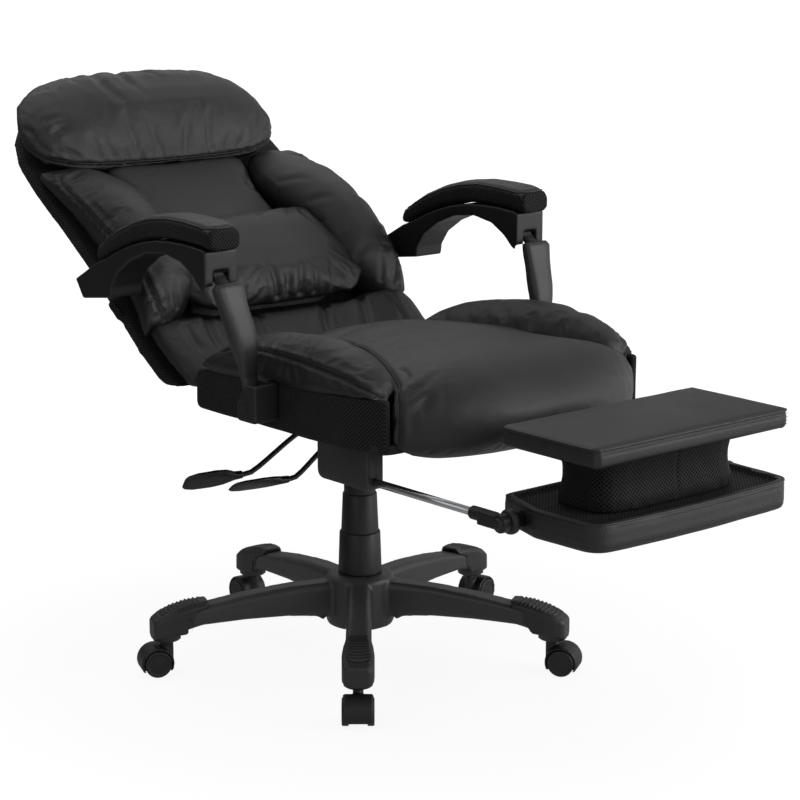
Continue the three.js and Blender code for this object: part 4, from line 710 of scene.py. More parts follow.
def turned_profile(name, rows, centre, axis=Vector((0, 0, 1)), steps=48):
    """A body of revolution from rows of (radius, height), by spinning its profile."""
    bm = bmesh.new()
    turn = axis.to_track_quat("Z", "Y").to_matrix()
    rim = [bm.verts.new(centre + turn @ Vector((r, 0, z))) for r, z in rows]
    edges = [bm.edges.new(pair) for pair in zip(rim, rim[1:])]
    if rows[0][0] > 0 and rows[-1][0] > 0:
        edges.append(bm.edges.new((rim[-1], rim[0])))
    bmesh.ops.spin(
        bm,
        geom=rim + edges,
        cent=centre,
        axis=axis,
        angle=2 * math.pi,
        steps=steps,
        use_merge=True,
    )
    bmesh.ops.remove_doubles(bm, verts=bm.verts, dist=1e-6)
    return shaped(name, bm)


def from_hinge(place):
    """A place on the back as (across, up from the hinge, outwards)."""
    rel = place - HINGE
    return rel.x, rel.dot(BACK_UP), rel.dot(BACK_OUT)


def drawn_in(place):
    """The front corners of the seat are drawn in a little."""
    share = ease((COLUMN.y - 0.2 - place.y) / 0.16)
    return Vector(((COLUMN.x - place.x) * 0.042 * share, 0.007 * share, 0))


def small_waves(scale, height, seed):
    """Slow unevenness of a hand-made cover."""
    shift = Vector((seed * 3.7, seed * 1.3, seed * 2.1))
    return lambda place, _: height * noise.noise(place * scale + shift)


def wide_places(places, side=1):
    """Places measured from the column, mirrored for the sitter's right."""
    return [COLUMN + Vector((x * side, y, z)) for x, y, z in places]


def back_places(places, side=1):
    """Places on the back's pads: (across, up from the hinge), seen from in front."""
    return [HINGE + ACROSS * (x * side) + BACK_UP * u + BACK_OUT * 0.3 for x, u in places]


def back_line(tree, places, side=1, step=0.004):
    return evened(tree, laid(tree, curved(back_places(places, side), step), -BACK_OUT))


def back_folds(tree, rows, side, fade_in, fade_out):
    """Folds from rows of (places on the back, depth, width)."""
    return [
        (back_line(tree, run, side, 0.003), depth, width, fade_in, fade_out)
        for run, depth, width in rows
    ]


def back_near(tree, places, side=1):
    """A line laid on the nearest skin of the back, from (across, up, outwards)."""
    run = [HINGE + ACROSS * (x * side) + BACK_UP * u + BACK_OUT * n for x, u, n in places]
    return evened(tree, laid_near(tree, curved(run, 0.004)))


def twin_seam(name, tree, line, body, gap):
    """A seam between two thin raised welts, with a row of stitches beside each, and a thin black
    cord sunk between the welts as painted shade for the seam's groove.
    """
    thick = 0.0011
    line = evened(tree, line, 4)
    edges = [evened(tree, beside(tree, line, way * gap), 4, -thick * 0.3) for way in (1, -1)]
    cords = [piping(f"{name}_{i}", edge, thick, body) for i, edge in enumerate(edges)]
    welted(f"{name}_welts", cords, body)
    # A thin black cord sunk in the groove is painted shade: it darkens the seam's groove.
    piping(f"{name}_painted_shade_cord", evened(tree, line, 4, -0.0003), 0.0008, body, lining)
    rows = [evened(tree, beside(tree, line, way * gap * 2.4), 4, 0.0001) for way in (1, -1)]
    stitched(f"{name}_stitches", rows, body)


def stuffed(name, node, seams, voxel, passes, pressure, slack, cap=0.007, form=None):
    """A stuffed cover over a CAD cushion: it fills out between the seams that hold it.

    voxel is the fineness of its skin, passes how often its edges are smoothed, slack the
    share of cloth to spare, cap the furthest that a point moves, and form(place) a shift of
    the skin before it fills out.
    """
    cover = rounded(name, node, voxel, passes)
    if form:
        shifted(cover, form)
    tree = surface(cover)
    lines = seams(tree)
    blown(cover, pressure, slack, cap, near(lines, voxel * 0.8) if lines else None)
    with_modifier(cover, "SUBSURF", levels=1, render_levels=1)
    moved_points(cover, small_waves(13, 0.0015, len(node)))
    return cover


# ---- the chair, piece by piece


def make_cushion():
    edge = [
        (0.105, -0.06, 0.523),
        (0.116, -0.126, 0.523),
        (0.136, -0.196, 0.522),
        (0.165, -0.261, 0.516),
        (0.2, -0.323, 0.505),
        (0.225, -0.356, 0.493),
        (0.234, -0.366, 0.475),
        (0.234, -0.366, 0.452),
        (0.226, -0.358, 0.428),
    ]

    def seams(tree):
        return [laid_near(tree, curved(wide_places(edge, side), 0.004)) for side in (1, -1)]

    def form(place):
        """The cushion's nose hangs lower than its solid."""
        low = ease((0.47 - place.z) / 0.03) * ease((COLUMN.y - 0.26 - place.y) / 0.08)
        return drawn_in(place) - Vector((0, 0, 0.007 * low))

    cover = stuffed(
        "seat_cushion_cover",
        "seat_cushion",
        seams,
        voxel=0.006,
        passes=6,
        pressure=2.5,
        slack=0.004,
        form=form,
    )
    tree = surface(cover)
    lines = seams(tree)
    folds = [(line, 0.0022, 0.004, 0.1, 0.0) for line in lines]
    crease = [(0.165, -0.276, 0.517), (0.164, -0.296, 0.518), (0.187, -0.336, 0.515)]
    for side in (1, -1):
        run = laid_near(tree, curved(wide_places(crease, side), 0.003))
        folds.append((run, 0.0016, 0.0035, 0.2, 0.5))
    for k, line in enumerate(lines):
        folds += gathers(tree, line[:40], 0.03, 0.022, k + 1, 1 - 2 * k, 0.0011, 0.004)
    under = [(0.2, -0.38, 0.424), (0.1, -0.416, 0.424), (0, -0.424, 0.426)]
    hem = under + [(-x, y, z) for x, y, z in reversed(under[:-1])]
    hem_line = laid_near(tree, curved(wide_places(hem), 0.004))
    folds += gathers(tree, hem_line, 0.02, 0.018, 9, 1, 0.0012, 0.004)
    folded(cover, folds)
    upholstered(cover, leather, "seat_cushion")
    tree = surface(cover)
    for (name, side), line in zip(SIDES.items(), lines):
        twin_seam(f"seat_edge_seam_{name}", tree, line, "seat", 0.0022)


BOLSTER_SEAM = [
    (0.243, 0.04, 0.492),
    (0.249, 0.01, 0.508),
    (0.251, -0.037, 0.519),
    (0.253, -0.087, 0.526),
    (0.257, -0.144, 0.527),
    (0.259, -0.195, 0.525),
    (0.26, -0.273, 0.518),
    (0.259, -0.309, 0.513),
    (0.249, -0.332, 0.506),
    (0.229, -0.342, 0.497),
]


def make_bolster(name, side):
    def seams(tree):
        return [laid_near(tree, curved(wide_places(BOLSTER_SEAM, side), 0.004))]

    node = f"seat_bolster_{name}"
    cover = stuffed(
        f"seat_bolster_cover_{name}",
        node,
        seams,
        voxel=0.0045,
        passes=5,
        pressure=3.5,
        slack=0.02,
        form=drawn_in,
    )
    tree = surface(cover)
    line = seams(tree)[0]
    folds = [(line, 0.0026, 0.0036, 0.05, 0.0)]
    folds += gathers(tree, line, 0.011, 0.016, 3 + side, side, 0.0006, 0.0026)
    folds += gathers(tree, line, 0.012, 0.02, 5 + side, -side, 0.0008, 0.0026)
    folded(cover, folds)
    upholstered(cover, leather, node)
    tree = surface(cover)
    twin_seam(f"bolster_seam_{name}", tree, line, "seat", 0.0021)


def make_side_panel(name, side):
    panel = rounded(f"seat_side_cover_{name}", f"seat_side_panel_{name}", 0.003, 4)

    def wrapped(place):
        """The panel's front end bends round the corner of the seat."""
        return ACROSS * (-0.021 * side * ease((COLUMN.y - 0.262 - place.y) / 0.1) ** 1.5)

    shifted(panel, wrapped)
    moved_points(panel, small_waves(16, 0.0012, 4))
    weave_map(panel)
    upholstered(panel, mesh_cloth, f"seat_side_panel_{name}")


def make_head_pillow():
    height_on_back = 0.553
    middle = HINGE + BACK_UP * height_on_back

    def rim(tree, height):
        return ring(tree, middle + BACK_OUT * height, BACK_UP)

    def seams(tree):
        return [rim(tree, 0.038)]

    def form(place):
        """The pillow sits a little to the sitter's right, and taller."""
        x, u, _ = from_hinge(place)
        aside = -0.007 - 0.014 * ease(-x / 0.2)
        return ACROSS * aside + BACK_UP * (0.006 * (u - height_on_back) / 0.09)

    cover = stuffed(
        "head_pillow_cover",
        "head_pillow",
        seams,
        voxel=0.0055,
        passes=3,
        pressure=3.5,
        slack=0.02,
        cap=0.009,
        form=form,
    )
    tree = surface(cover)
    lines = seams(tree)
    folds = [(lines[0], 0.0026, 0.0042, 0.0, 0.0)]
    main = [(-0.088, 0.642), (-0.098, 0.6), (-0.091, 0.56), (-0.075, 0.535), (-0.05, 0.517)]
    creases = [
        (main, 0.0045, 0.008),
        ([(-0.05, 0.636), (-0.05, 0.6), (-0.042, 0.57), (-0.025, 0.54)], 0.0038, 0.007),
        ([(0.0, 0.636), (0.011, 0.607), (0.022, 0.58)], 0.0028, 0.006),
        ([(-0.135, 0.636), (-0.14, 0.612), (-0.138, 0.585)], 0.0024, 0.006),
        ([(0.07, 0.634), (0.078, 0.612), (0.092, 0.59)], 0.0018, 0.006),
        ([(-0.225, 0.51), (-0.205, 0.516), (-0.18, 0.514)], 0.0034, 0.006),
        ([(-0.228, 0.535), (-0.21, 0.537), (-0.19, 0.531)], 0.0024, 0.005),
        ([(0.215, 0.51), (0.2, 0.52), (0.175, 0.53)], 0.002, 0.006),
    ]
    folds += back_folds(tree, creases, 1, 0.15, 0.8)
    folds += gathers(tree, lines[0], 0.022, 0.016, 2, 1, 0.0012, 0.0035)
    folds += gathers(tree, lines[0], 0.02, 0.019, 8, -1, 0.0012, 0.0035)
    folded(cover, folds)
    upholstered(cover, leather, "head_pillow")
    tree = surface(cover)
    welts = [
        piping(f"head_welt_{height}", rim(tree, height), 0.0013, "back", closed=True)
        for height in (0.0345, 0.0405)
    ]
    welted("head_pillow_welt", welts, "back")
    stitched("head_pillow_stitches", [rim(tree, 0.0445)], "back")


WING_SEAM = [
    (0.222, 0.449, 0.04),
    (0.239, 0.436, 0.043),
    (0.243, 0.399, 0.05),
    (0.243, 0.372, 0.055),
    (0.244, 0.343, 0.06),
    (0.244, 0.3, 0.066),
    (0.244, 0.249, 0.077),
    (0.242, 0.201, 0.084),
    (0.241, 0.178, 0.081),
    (0.241, 0.155, 0.074),
    (0.237, 0.133, 0.063),
    (0.228, 0.117, 0.044),
]


def make_wing(name, side):
    def seams(tree):
        return [back_near(tree, WING_SEAM, side)]

    def form(place):
        """The wing stands out further in its middle."""
        x, u, n = from_hinge(place)
        middle = max(0, 1 - ((u - 0.3) / 0.17) ** 2)
        return BACK_OUT * (0.012 * middle * ease((n - 0.02) / 0.03) * ease((abs(x) - 0.13) / 0.06))

    cover = stuffed(
        f"back_wing_cover_{name}",
        f"back_wing_{name}",
        seams,
        voxel=0.0048,
        passes=5,
        pressure=3.5,
        slack=0.02,
        cap=0.008,
        form=form,
    )
    tree = surface(cover)
    line = seams(tree)[0]
    folds = [(line, 0.003, 0.0042, 0.05, 0.05)]
    outer = beside(tree, line, 0.006 * side)
    folds += gathers(tree, outer, 0.02, 0.012, 11 + side, side, 0.002, 0.003)
    folds += gathers(tree, line, 0.02, 0.026, 12 + side, -side, 0.001, 0.0035)
    creases = [
        ([(0.13, 0.36), (0.15, 0.345), (0.172, 0.32)], 0.002, 0.006),
        ([(0.142, 0.29), (0.16, 0.28), (0.18, 0.262)], 0.0018, 0.006),
        ([(0.16, 0.16), (0.185, 0.17), (0.21, 0.165)], 0.002, 0.006),
        ([(0.2, 0.122), (0.205, 0.14), (0.2, 0.165)], 0.0022, 0.005),
    ]
    folds += back_folds(tree, creases, side, 0.1, 0.7)
    folded(cover, folds)
    upholstered(cover, leather, f"back_wing_{name}")
    tree = surface(cover)
    twin_seam(f"wing_seam_{name}", tree, line, "back", 0.0021)


def make_lumbar_pillow():
    def seams(tree):
        middle = HINGE + BACK_UP * 0.198 + BACK_OUT * 0.045
        return [ring(tree, middle, BACK_UP)]

    def form(place):
        """The pillow spreads sideways and upwards, and its lower edge is drawn under."""
        x, u, n = from_hinge(place)
        wide = 0.018 * (x / 0.14) ** 3 * ease((0.27 - u) / 0.1)
        tall = 0.014 * ease((u - 0.2) / 0.08) + 0.006 * (x / 0.14) ** 2 * ease((u - 0.22) / 0.06)
        under = 0.022 * ease((0.045 - n) / 0.015) * ease((0.15 - u) / 0.03)
        return ACROSS * wide + BACK_UP * (tall + under)

    cover = stuffed(
        "lumbar_pillow_cover",
        "lumbar_pillow",
        seams,
        voxel=0.0048,
        passes=3,
        pressure=4.0,
        slack=0.008,
        form=form,
    )
    tree = surface(cover)
    line = seams(tree)[0]
    folds = [(line, 0.0022, 0.0038, 0.0, 0.0)]
    creases = []
    for x, top, lean, depth in (
        (-0.09, 0.15, 0.012, 0.0022),
        (-0.023, 0.172, -0.008, 0.0038),
        (-0.002, 0.152, 0.004, 0.0028),
        (0.022, 0.166, 0.012, 0.0036),
        (0.052, 0.158, 0.014, 0.003),
        (0.086, 0.155, 0.014, 0.0026),
        (0.118, 0.147, 0.008, 0.002),
    ):
        run = [(x, 0.112), (x + lean * 0.3, 0.128), (x + lean, top)]
        creases.append((run, depth, 0.0055))
    folds += back_folds(tree, creases, 1, 0.0, 0.8)
    corner = [(0.128, 0.282), (0.118, 0.255), (0.122, 0.225)]
    folds += back_folds(tree, [(corner, 0.002, 0.006)], 1, 0.1, 0.7)
    folds += gathers(tree, line, 0.014, 0.016, 4, 1, 0.0011, 0.003)
    folded(cover, folds)
    upholstered(cover, leather, "lumbar_pillow")
    piping("lumbar_pillow_welt", seams(surface(cover))[0], 0.0012, "back", closed=True)


def no_seams(_):
    """For a cover that no seam crosses."""
    return []


def make_back_panels():
    def tucked(place):
        """The centre panel's lower end is tucked in below the lumbar pillow."""
        return BACK_OUT * (-0.045 * ease((0.18 - from_hinge(place)[1]) / 0.05))

    centre = stuffed(
        "back_centre_cover",
        "back_centre_panel",
        no_seams,
        voxel=0.006,
        passes=5,
        pressure=1.5,
        slack=0.0,
        form=tucked,
    )
    tree = surface(centre)
    folds = []
    for side in (1, -1):
        run = back_line(tree, [(0.13, 0.43), (0.122, 0.38), (0.118, 0.33), (0.12, 0.28)], side)
        folds.append((run, 0.0018, 0.006, 0.2, 0.2))
        folds += gathers(tree, run, 0.03, 0.03, 21 + side, 1, 0.0009, 0.005)
    folded(centre, folds)
    upholstered(centre, leather, "back_centre_panel")

    lower = stuffed(
        "back_lower_cover",
        "back_lower_panel",
        no_seams,
        voxel=0.0055,
        passes=4,
        pressure=2.0,
        slack=0.01,
    )
    tree = surface(lower)
    creases = [
        ([(0.074, 0.112), (0.069, 0.102), (0.045, 0.062), (0.027, 0.02)], 0.0045, 0.006),
        ([(0.148, 0.108), (0.135, 0.078), (0.121, 0.048), (0.11, 0.015)], 0.0038, 0.006),
        ([(-0.15, 0.12), (-0.164, 0.085), (-0.172, 0.054), (-0.168, 0.015)], 0.0042, 0.006),
        ([(-0.2, 0.1), (-0.206, 0.07), (-0.205, 0.03)], 0.003, 0.006),
        ([(-0.06, 0.11), (-0.078, 0.065), (-0.092, 0.02)], 0.0036, 0.006),
        ([(0.2, 0.1), (0.196, 0.06), (0.19, 0.02)], 0.0026, 0.006),
    ]
    folded(lower, back_folds(tree, creases, 1, 0.1, 0.35))
    upholstered(lower, leather, "back_lower_panel")


def make_back_shell():
    shell = rounded("back_board_cover", "back_shell", 0.004, 3)
    weave_map(shell, math.radians(54))
    dressed(shell, [mesh_cloth, leather], "back_shell")
    painted(shell, lambda _, normal: 1 if normal.dot(BACK_OUT) < -0.75 else 0)
    tree = surface(shell)
    run = [(0.238, 0.03), (0.246, 0.12), (0.242, 0.2), (0.236, 0.3), (0.238, 0.4)]
    run += [(0.242, 0.48), (0.234, 0.55), (0.205, 0.605), (0.16, 0.632), (0.08, 0.636)]
    rows = []
    for side in (1, -1):
        line = curved([place - BACK_OUT * FAR for place in back_places(run, side)], 0.005)
        rows.append(laid(tree, line, BACK_OUT, 0.0004))
    cords = [piping(f"back_edge_{i}", row, 0.0018, "back") for i, row in enumerate(rows)]
    welted("back_edge_piping", cords, "back")


PAD_HALF = 0.0266  # half the width of the leather on an arm pad
PAD_RIM = [
    (0.0, -0.0668),
    (0.013, -0.0655),
    (0.0225, -0.06),
    (0.0262, -0.046),
    (PAD_HALF, 0.0),
    (PAD_HALF, 0.06),
    (PAD_HALF, 0.12),
    (0.0262, 0.17),
    (0.024, 0.2),
    (0.015, 0.216),
    (0.0, 0.22),
]


def make_arm(name, side):
    shell = rounded(f"arm_shell_moulded_{name}", f"arm_shell_{name}", 0.0022, 2)
    dressed(shell, shell_plastic, f"arm_shell_{name}")
    strut = rounded(f"arm_strut_moulded_{name}", f"arm_strut_{name}", 0.0018, 5)
    heights = [vertex.co.z for vertex in strut.data.vertices]
    low, high = min(heights), max(heights)

    def bowed(place, _):
        """The strut is fuller in the middle and slim where cups hold it."""
        t = (place.z - low) / (high - low)
        return 0.0034 * ease((t - 0.3) / 0.2) * ease((0.8 - t) / 0.25)

    def bent(place):
        """The strut curves forward between its cups."""
        t = (place.z - low) / (high - low)
        return Vector((0, -0.004 * math.sin(math.pi * min(1, max(0, (t - 0.25) / 0.57))), 0))

    moved_points(strut, bowed)
    shifted(strut, bent)
    dressed(strut, pale_plastic, f"arm_strut_{name}")
    bracket = rounded(f"arm_bracket_moulded_{name}", f"arm_bracket_{name}", 0.0016, 2)
    dressed(bracket, dark_plastic, f"arm_bracket_{name}")
    pivot = HINGE + Vector((0.284 * side, -0.235, 0.031))  # where the strut turns in its cup
    outside = pivot + ACROSS * (0.2 * side)
    spot = laid(surface(bracket), [outside], -ACROSS * side)[0]
    rows = [
        (0.0, 0.0012),
        (0.0045, 0.0012),
        (0.0058, 0.0006),
        (0.0066, 0.0006),
        (0.0074, 0.0014),
        (0.0086, 0.0009),
        (0.009, -0.002),
        (0.0, -0.002),
    ]
    disc = turned_profile(f"arm_pivot_cap_{name}", rows, spot, ACROSS * side, 32)
    trimmed(disc, dark_plastic, "seat")

    pad = rounded(f"arm_pad_cover_{name}", f"arm_pad_{name}", 0.0028, 4)
    moved_points(pad, small_waves(20, 0.0007, 6))
    middle = COLUMN + Vector((0.298 * side, 0, 0))

    def on_leather(centre, normal):
        x, y = centre.x - middle.x, centre.y - middle.y
        inside = abs(x) < PAD_HALF and -0.0655 < y < 0.218
        return 0 if inside and normal.z > 0.1 else 1

    rim = PAD_RIM + [(-x, y) for x, y in reversed(PAD_RIM[:-1])]
    line = curved([middle + Vector((x, y, 0.8)) for x, y in rim], 0.0035)
    line = laid(surface(pad), line, DOWN)
    folded(pad, [(line, 0.0012, 0.0028, 0.0, 0.0)])
    weave_map(pad)
    dressed(pad, [leather, mesh_cloth], f"arm_pad_{name}")
    painted(pad, on_leather)
    line = laid_near(surface(pad), line, 0.0004)
    piping(f"arm_pad_piping_{name}", line, 0.0014, f"armrest_{name}", closed=True)


TRAY_SUNK = 0.008  # how much lower the tray's top lies than its solid


def make_footrest_board():
    board = rounded("footrest_board_cover", "footrest_board", 0.0035, 3)
    middle = COLUMN + Vector((0, -0.601, 0.4685))
    half_wide, half_deep = 0.1835, 0.089

    def crown(place, normal):
        """The board's top is domed."""
        x, y = (place.x - middle.x) / half_wide, (place.y - middle.y) / half_deep
        return 0.003 * max(0, 1 - x**4) * max(0, 1 - y**4) if normal.z > 0.5 else 0

    moved_points(board, crown)
    moved_points(board, small_waves(14, 0.0008, 7))
    tree = surface(board)
    rim = level_ring(tree, middle, 0.0105, -0.0002)
    row = level_ring(tree, middle, 0.0045, 0.0001)
    under = level_ring(tree, middle, 0.0072, 0.0001)
    folds = [(row, 0.0007, 0.0025, 0.0, 0.0), (under, 0.0018, 0.0018, 0.0, 0.0)]
    corners = []
    for x in (1, -1):
        for y in (1, -1):
            way = Vector((x * half_wide, y * half_deep, 0))
            heights = [0.009, 0.004, -0.002, -0.008, -0.013]
            run = [middle + way * 0.985 + Vector((0, 0, height)) for height in heights]
            corners.append(spaced(laid_near(tree, run), 0.003))
            folds.append((corners[-1], 0.0018, 0.0028, 0.0, 0.0))
    folded(board, folds)
    upholstered(board, leather, "footrest_board")
    piping("footrest_board_piping", rim, 0.0021, "footrest", closed=True)
    stitched("footrest_board_stitches", [row] + corners, "footrest", 0.0045, 0.003, 0.0005)


def make_footrest_tray():
    tray = rounded("footrest_tray_cover", "footrest_tray", 0.0035, 3)
    middle = COLUMN + Vector((0, -0.603, 0.3655))
    rim = level_ring(surface(tray), middle, 0.0165)
    from_rim = KDTree(len(rim))
    for i, place in enumerate(rim):
        from_rim.insert(place, i)
    from_rim.balance()

    def sunk(place, normal):
        """The tray's top lies lower than its rim."""
        if place.z < middle.z + 0.01:
            return 0
        away = from_rim.find(Vector((place.x, place.y, rim[0].z)))[2]
        return -TRAY_SUNK * ease((away - 0.006) / 0.009) * max(0, normal.z)

    moved_points(tray, sunk)
    tree = surface(tray)
    low = level_ring(tree, middle, -0.014, 0.0001)
    high = level_ring(tree, middle, 0.0125, 0.0001)
    folded(tray, [(low, 0.0008, 0.0028, 0, 0), (high, 0.0006, 0.0028, 0, 0)])
    moved_points(tray, small_waves(12, 0.0008, 8))
    weave_map(tray)
    dressed(tray, [glossy_leather, mesh_cloth], "footrest_tray")

    def tray_cloth(centre, normal):
        away = from_rim.find(Vector((centre.x, centre.y, rim[0].z)))[2]
        return 1 if normal.z > 0.3 and centre.z > middle.z and away > 0.008 else 0

    painted(tray, tray_cloth)
    rim = [place + Vector((0, 0, 0.0012)) for place in rim]
    piping("footrest_tray_piping", rim, 0.0017, "footrest", glossy_leather, closed=True)
    stitched("footrest_tray_stitches", [low, high], "footrest", 0.0045, 0.003, 0.0005)


def make_footrest_neck():
    neck = rounded("footrest_neck_cover", "footrest_neck", 0.0035, 3)
    for vertex in neck.data.vertices:  # down to the sunk top of the tray
        if vertex.co.z < 0.392:
            vertex.co.z -= TRAY_SUNK
    tree = surface(neck)
    seam = [COLUMN + Vector((0.003, -0.8, z)) for z in (0.384, 0.4, 0.42, 0.44, 0.452)]
    seam = laid(tree, curved(seam, 0.003), REARWARD)
    folds = [(seam, 0.002, 0.003, 0, 0)]
    for x, lean in ((-0.09, 0.03), (0.07, -0.03)):
        run = [COLUMN + Vector((x + lean * t, -0.8, 0.39 + 0.055 * t)) for t in (0, 0.5, 1)]
        folds.append((laid(tree, curved(run, 0.003), REARWARD), 0.0008, 0.009, 0.3, 0.5))
    folded(neck, folds)
    weave_map(neck)
    upholstered(neck, mesh_cloth, "footrest_neck")


def make_rods_and_knuckles():
    radius, length = 0.0057, 0.319
    for name, side in SIDES.items():
        for node, voxel, passes in (("knuckle_socket", 0.0012, 8), ("knuckle_ball", 0.0014, 14)):
            part = rounded(f"{node}_moulded_{name}", f"{node}_{name}", voxel, passes)
            dressed(part, dark_plastic, f"{node}_{name}")
        end = COLUMN + Vector((0.2075 * side, -0.51, 0.364))
        rows = [(0, 0), (radius, 0), (radius, length), (0, length)]
        rod = turned_profile(f"footrest_rod_polished_{name}", rows, end, REARWARD, 40)
        dressed(rod, chrome, f"footrest_rod_{name}")


def make_lever_paddles():
    """Each paddle leans about the axis of its rod, which lies at a distance behind."""
    for kind, behind, angle in (("height", 0, -58), ("recline", -0.065, -36)):
        paddle = rounded(f"{kind}_lever_grip", f"{kind}_lever_paddle", 0.0014, 4)
        axis = COLUMN + Vector((-0.2, behind, 0.3235))
        lean = Matrix.Rotation(math.radians(angle), 4, "X")
        paddle.data.transform(Matrix.Translation(axis) @ lean @ Matrix.Translation(-axis))
        dressed(paddle, glossy_plastic, f"{kind}_lever_paddle")


LEGS = 5


def leg_place(index):
    """Carries places on a leg that points along X to one of the five legs."""
    turn = Matrix.Rotation(math.radians(230 + 360 / LEGS * index), 4, "Z")
    return Matrix.Translation(COLUMN) @ turn


def make_base():
    """The star, with a prow on the hub below each leg."""
    bm = cad_copy("star_base")
    lean = Matrix.Rotation(math.radians(-30), 4, "Y")
    squash = Matrix.Diagonal((0.55, 1.0, 1.0, 1.0))
    on_hub = Matrix.Translation((0.0535, 0, 0.0935))
    for index in range(LEGS):
        bmesh.ops.create_cone(
            bm,
            cap_ends=True,
            segments=16,
            radius1=0.02,
            radius2=0.0015,
            depth=0.062,
            matrix=leg_place(index) @ on_hub @ lean @ squash,
        )
    star = shaped("star_base_moulded", bm)
    with_modifier(star, "REMESH", mode="VOXEL", voxel_size=0.0028, use_smooth_shade=True)
    with_modifier(star, "SMOOTH", factor=0.5, iterations=3)
    star.data.shade_smooth()
    # The star's plastic is painted lighter, as painted light under the seat's shadow.
    dressed(star, base_plastic_painted_lighter, "star_base")


def make_leg_caps():
    """Ribbed caps and the bosses of the caster stems: the first leg's, turned to the others."""
    first = rounded("leg_cap_master", "leg_cap_1", 0.0018, 3)
    to_first = leg_place(0)
    tree = surface(first)
    ribs = []
    for k in range(10):
        reach = 0.262 + 0.0062 * k
        half = 0.017 + 0.003 * math.sin(math.pi * k / 9)
        run = []
        for t in (-1, -0.6, -0.2, 0.2, 0.6, 1):
            run.append(to_first @ Vector((reach - 0.004 * t**2, half * t, 0.3)))
        ribs.append((laid(tree, curved(run, 0.002), DOWN), 0.002, 0.0018, 0.06, 0.06))
    folded(first, ribs)
    for index in range(LEGS):
        mesh = first.data.copy()
        turn = Matrix.Rotation(math.radians(360 / LEGS * index), 4, "Z")
        mesh.transform(Matrix.Translation(COLUMN) @ turn @ Matrix.Translation(-COLUMN))
        cap = new_piece(f"leg_cap_moulded_{index + 1}", mesh)
        dressed(cap, plastic, f"leg_cap_{index + 1}")
        stem = leg_place(index) @ Vector((0.307, 0, 0))
        rows = [(0.0, 0.0528), (0.019, 0.0528), (0.0212, 0.0545), (0.0224, 0.076), (0.0, 0.076)]
        boss = turned_profile(f"leg_boss_{index + 1}", rows, stem, steps=40)
        trimmed(boss, plastic, "base")
    bpy.data.objects.remove(first)


AXLE_REACH = 0.325  # from the column to a caster's axle
AXLE_HEIGHT = 0.0205


def make_caster(index):
    to_leg = leg_place(index - 1)
    hood = rounded(f"caster_hood_{index}", f"caster_housing_{index}", 0.0016, 2)
    axle = to_leg @ Vector((AXLE_REACH, 0, AXLE_HEIGHT))
    across = (to_leg.to_3x3() @ REARWARD).normalized()
    from_leg = to_leg.inverted()

    def barrel(place):
        """The hood narrows away from the axle, like a barrel."""
        local = from_leg @ place
        away = math.hypot(local.x - AXLE_REACH, local.z - AXLE_HEIGHT)
        return across * (-0.22 * local.y * ease((away - 0.017) / 0.011) ** 1.5)

    shifted(hood, barrel)
    dressed(hood, dark_plastic, f"caster_housing_{index}")
    wheels = []
    for way in (1, -1):
        rows = [
            (0.0, 0.0134),
            (0.0197, 0.0134),
            (0.0205, 0.0143),
            (0.0205, 0.0218),
            (0.0198, 0.0229),
            (0.0186, 0.0234),
            (0.0168, 0.0234),
            (0.0161, 0.0226),
            (0.012, 0.0231),
            (0.0, 0.0236),
        ]
        wheels.append(turned_profile(f"wheel_{index}_{way}", rows, axle, across * way, 40))
    pair = joined(f"caster_wheel_pair_{index}", wheels)
    for wheel in wheels:
        bpy.data.objects.remove(wheel)
    dressed(pair, dark_plastic, f"caster_wheels_{index}")


def make_dust_covers():
    """Three thin sleeves: (name, lower and upper height, radius at the foot and the head)."""
    for name, low, top, foot, head in (
        ("lower", 0.1313, 0.197, 0.0335, 0.0315),
        ("middle", 0.182, 0.258, 0.0295, 0.0264),
        ("upper", 0.243, 0.3367, 0.0244, 0.0244),
    ):
        rows = [
            (foot - 0.0015, low),
            (foot, low),
            (foot, low + 0.002),
            (head, top - 0.002),
            (head - 0.0008, top - 0.0004),
            (head - 0.0015, top),
        ]
        cover = turned_profile(f"dust_cover_{name}_turned", rows, COLUMN, steps=64)
        dressed(cover, shell_plastic, f"dust_cover_{name}")


def make_plain_nodes():
    """CAD nodes that keep their own shape get soft edges and a finish."""
    for node, piece in frame["nodes"].items():
        if piece.hide_render:
            continue
        piece.data.materials.clear()
        piece.data.materials.append(by_slot[slot_of[node]])
        weld = piece.modifiers.new("Weld", "WELD")
        weld.merge_threshold = 1e-5
        bevel = piece.modifiers.new("Edges", "BEVEL")
        bevel.width = 0.0006
        bevel.segments = 2
        bevel.limit_method = "ANGLE"
        bevel.angle_limit = math.radians(32)
        bevel.harden_normals = True
        piece.data.shade_smooth()


# ---- room, lamps and camera


DARKEST_SHINE = 0.08  # the room's darkest side in shiny surfaces
ROOM_LIGHT = 0.32  # what the white room adds to the lamps
FLOOR_GLOW = 1.1  # lifts the floor to white round the chair's shadow


def side_glow(tree, place, reach):
    """How bright the room looks in shiny surfaces: brightest in front, on the sitter's left."""
    along = shader_node(
        tree, "VectorMath", {0: place, 1: (0.63, -0.73, -0.27)}, operation="DOT_PRODUCT"
    )
    share = remap(tree, along.outputs["Value"], -reach, reach, 0.0, 1.0)
    return calc(
        tree, "MULTIPLY_ADD", calc(tree, "POWER", share, 2.0), 1.0 - DARKEST_SHINE, DARKEST_SHINE
    )


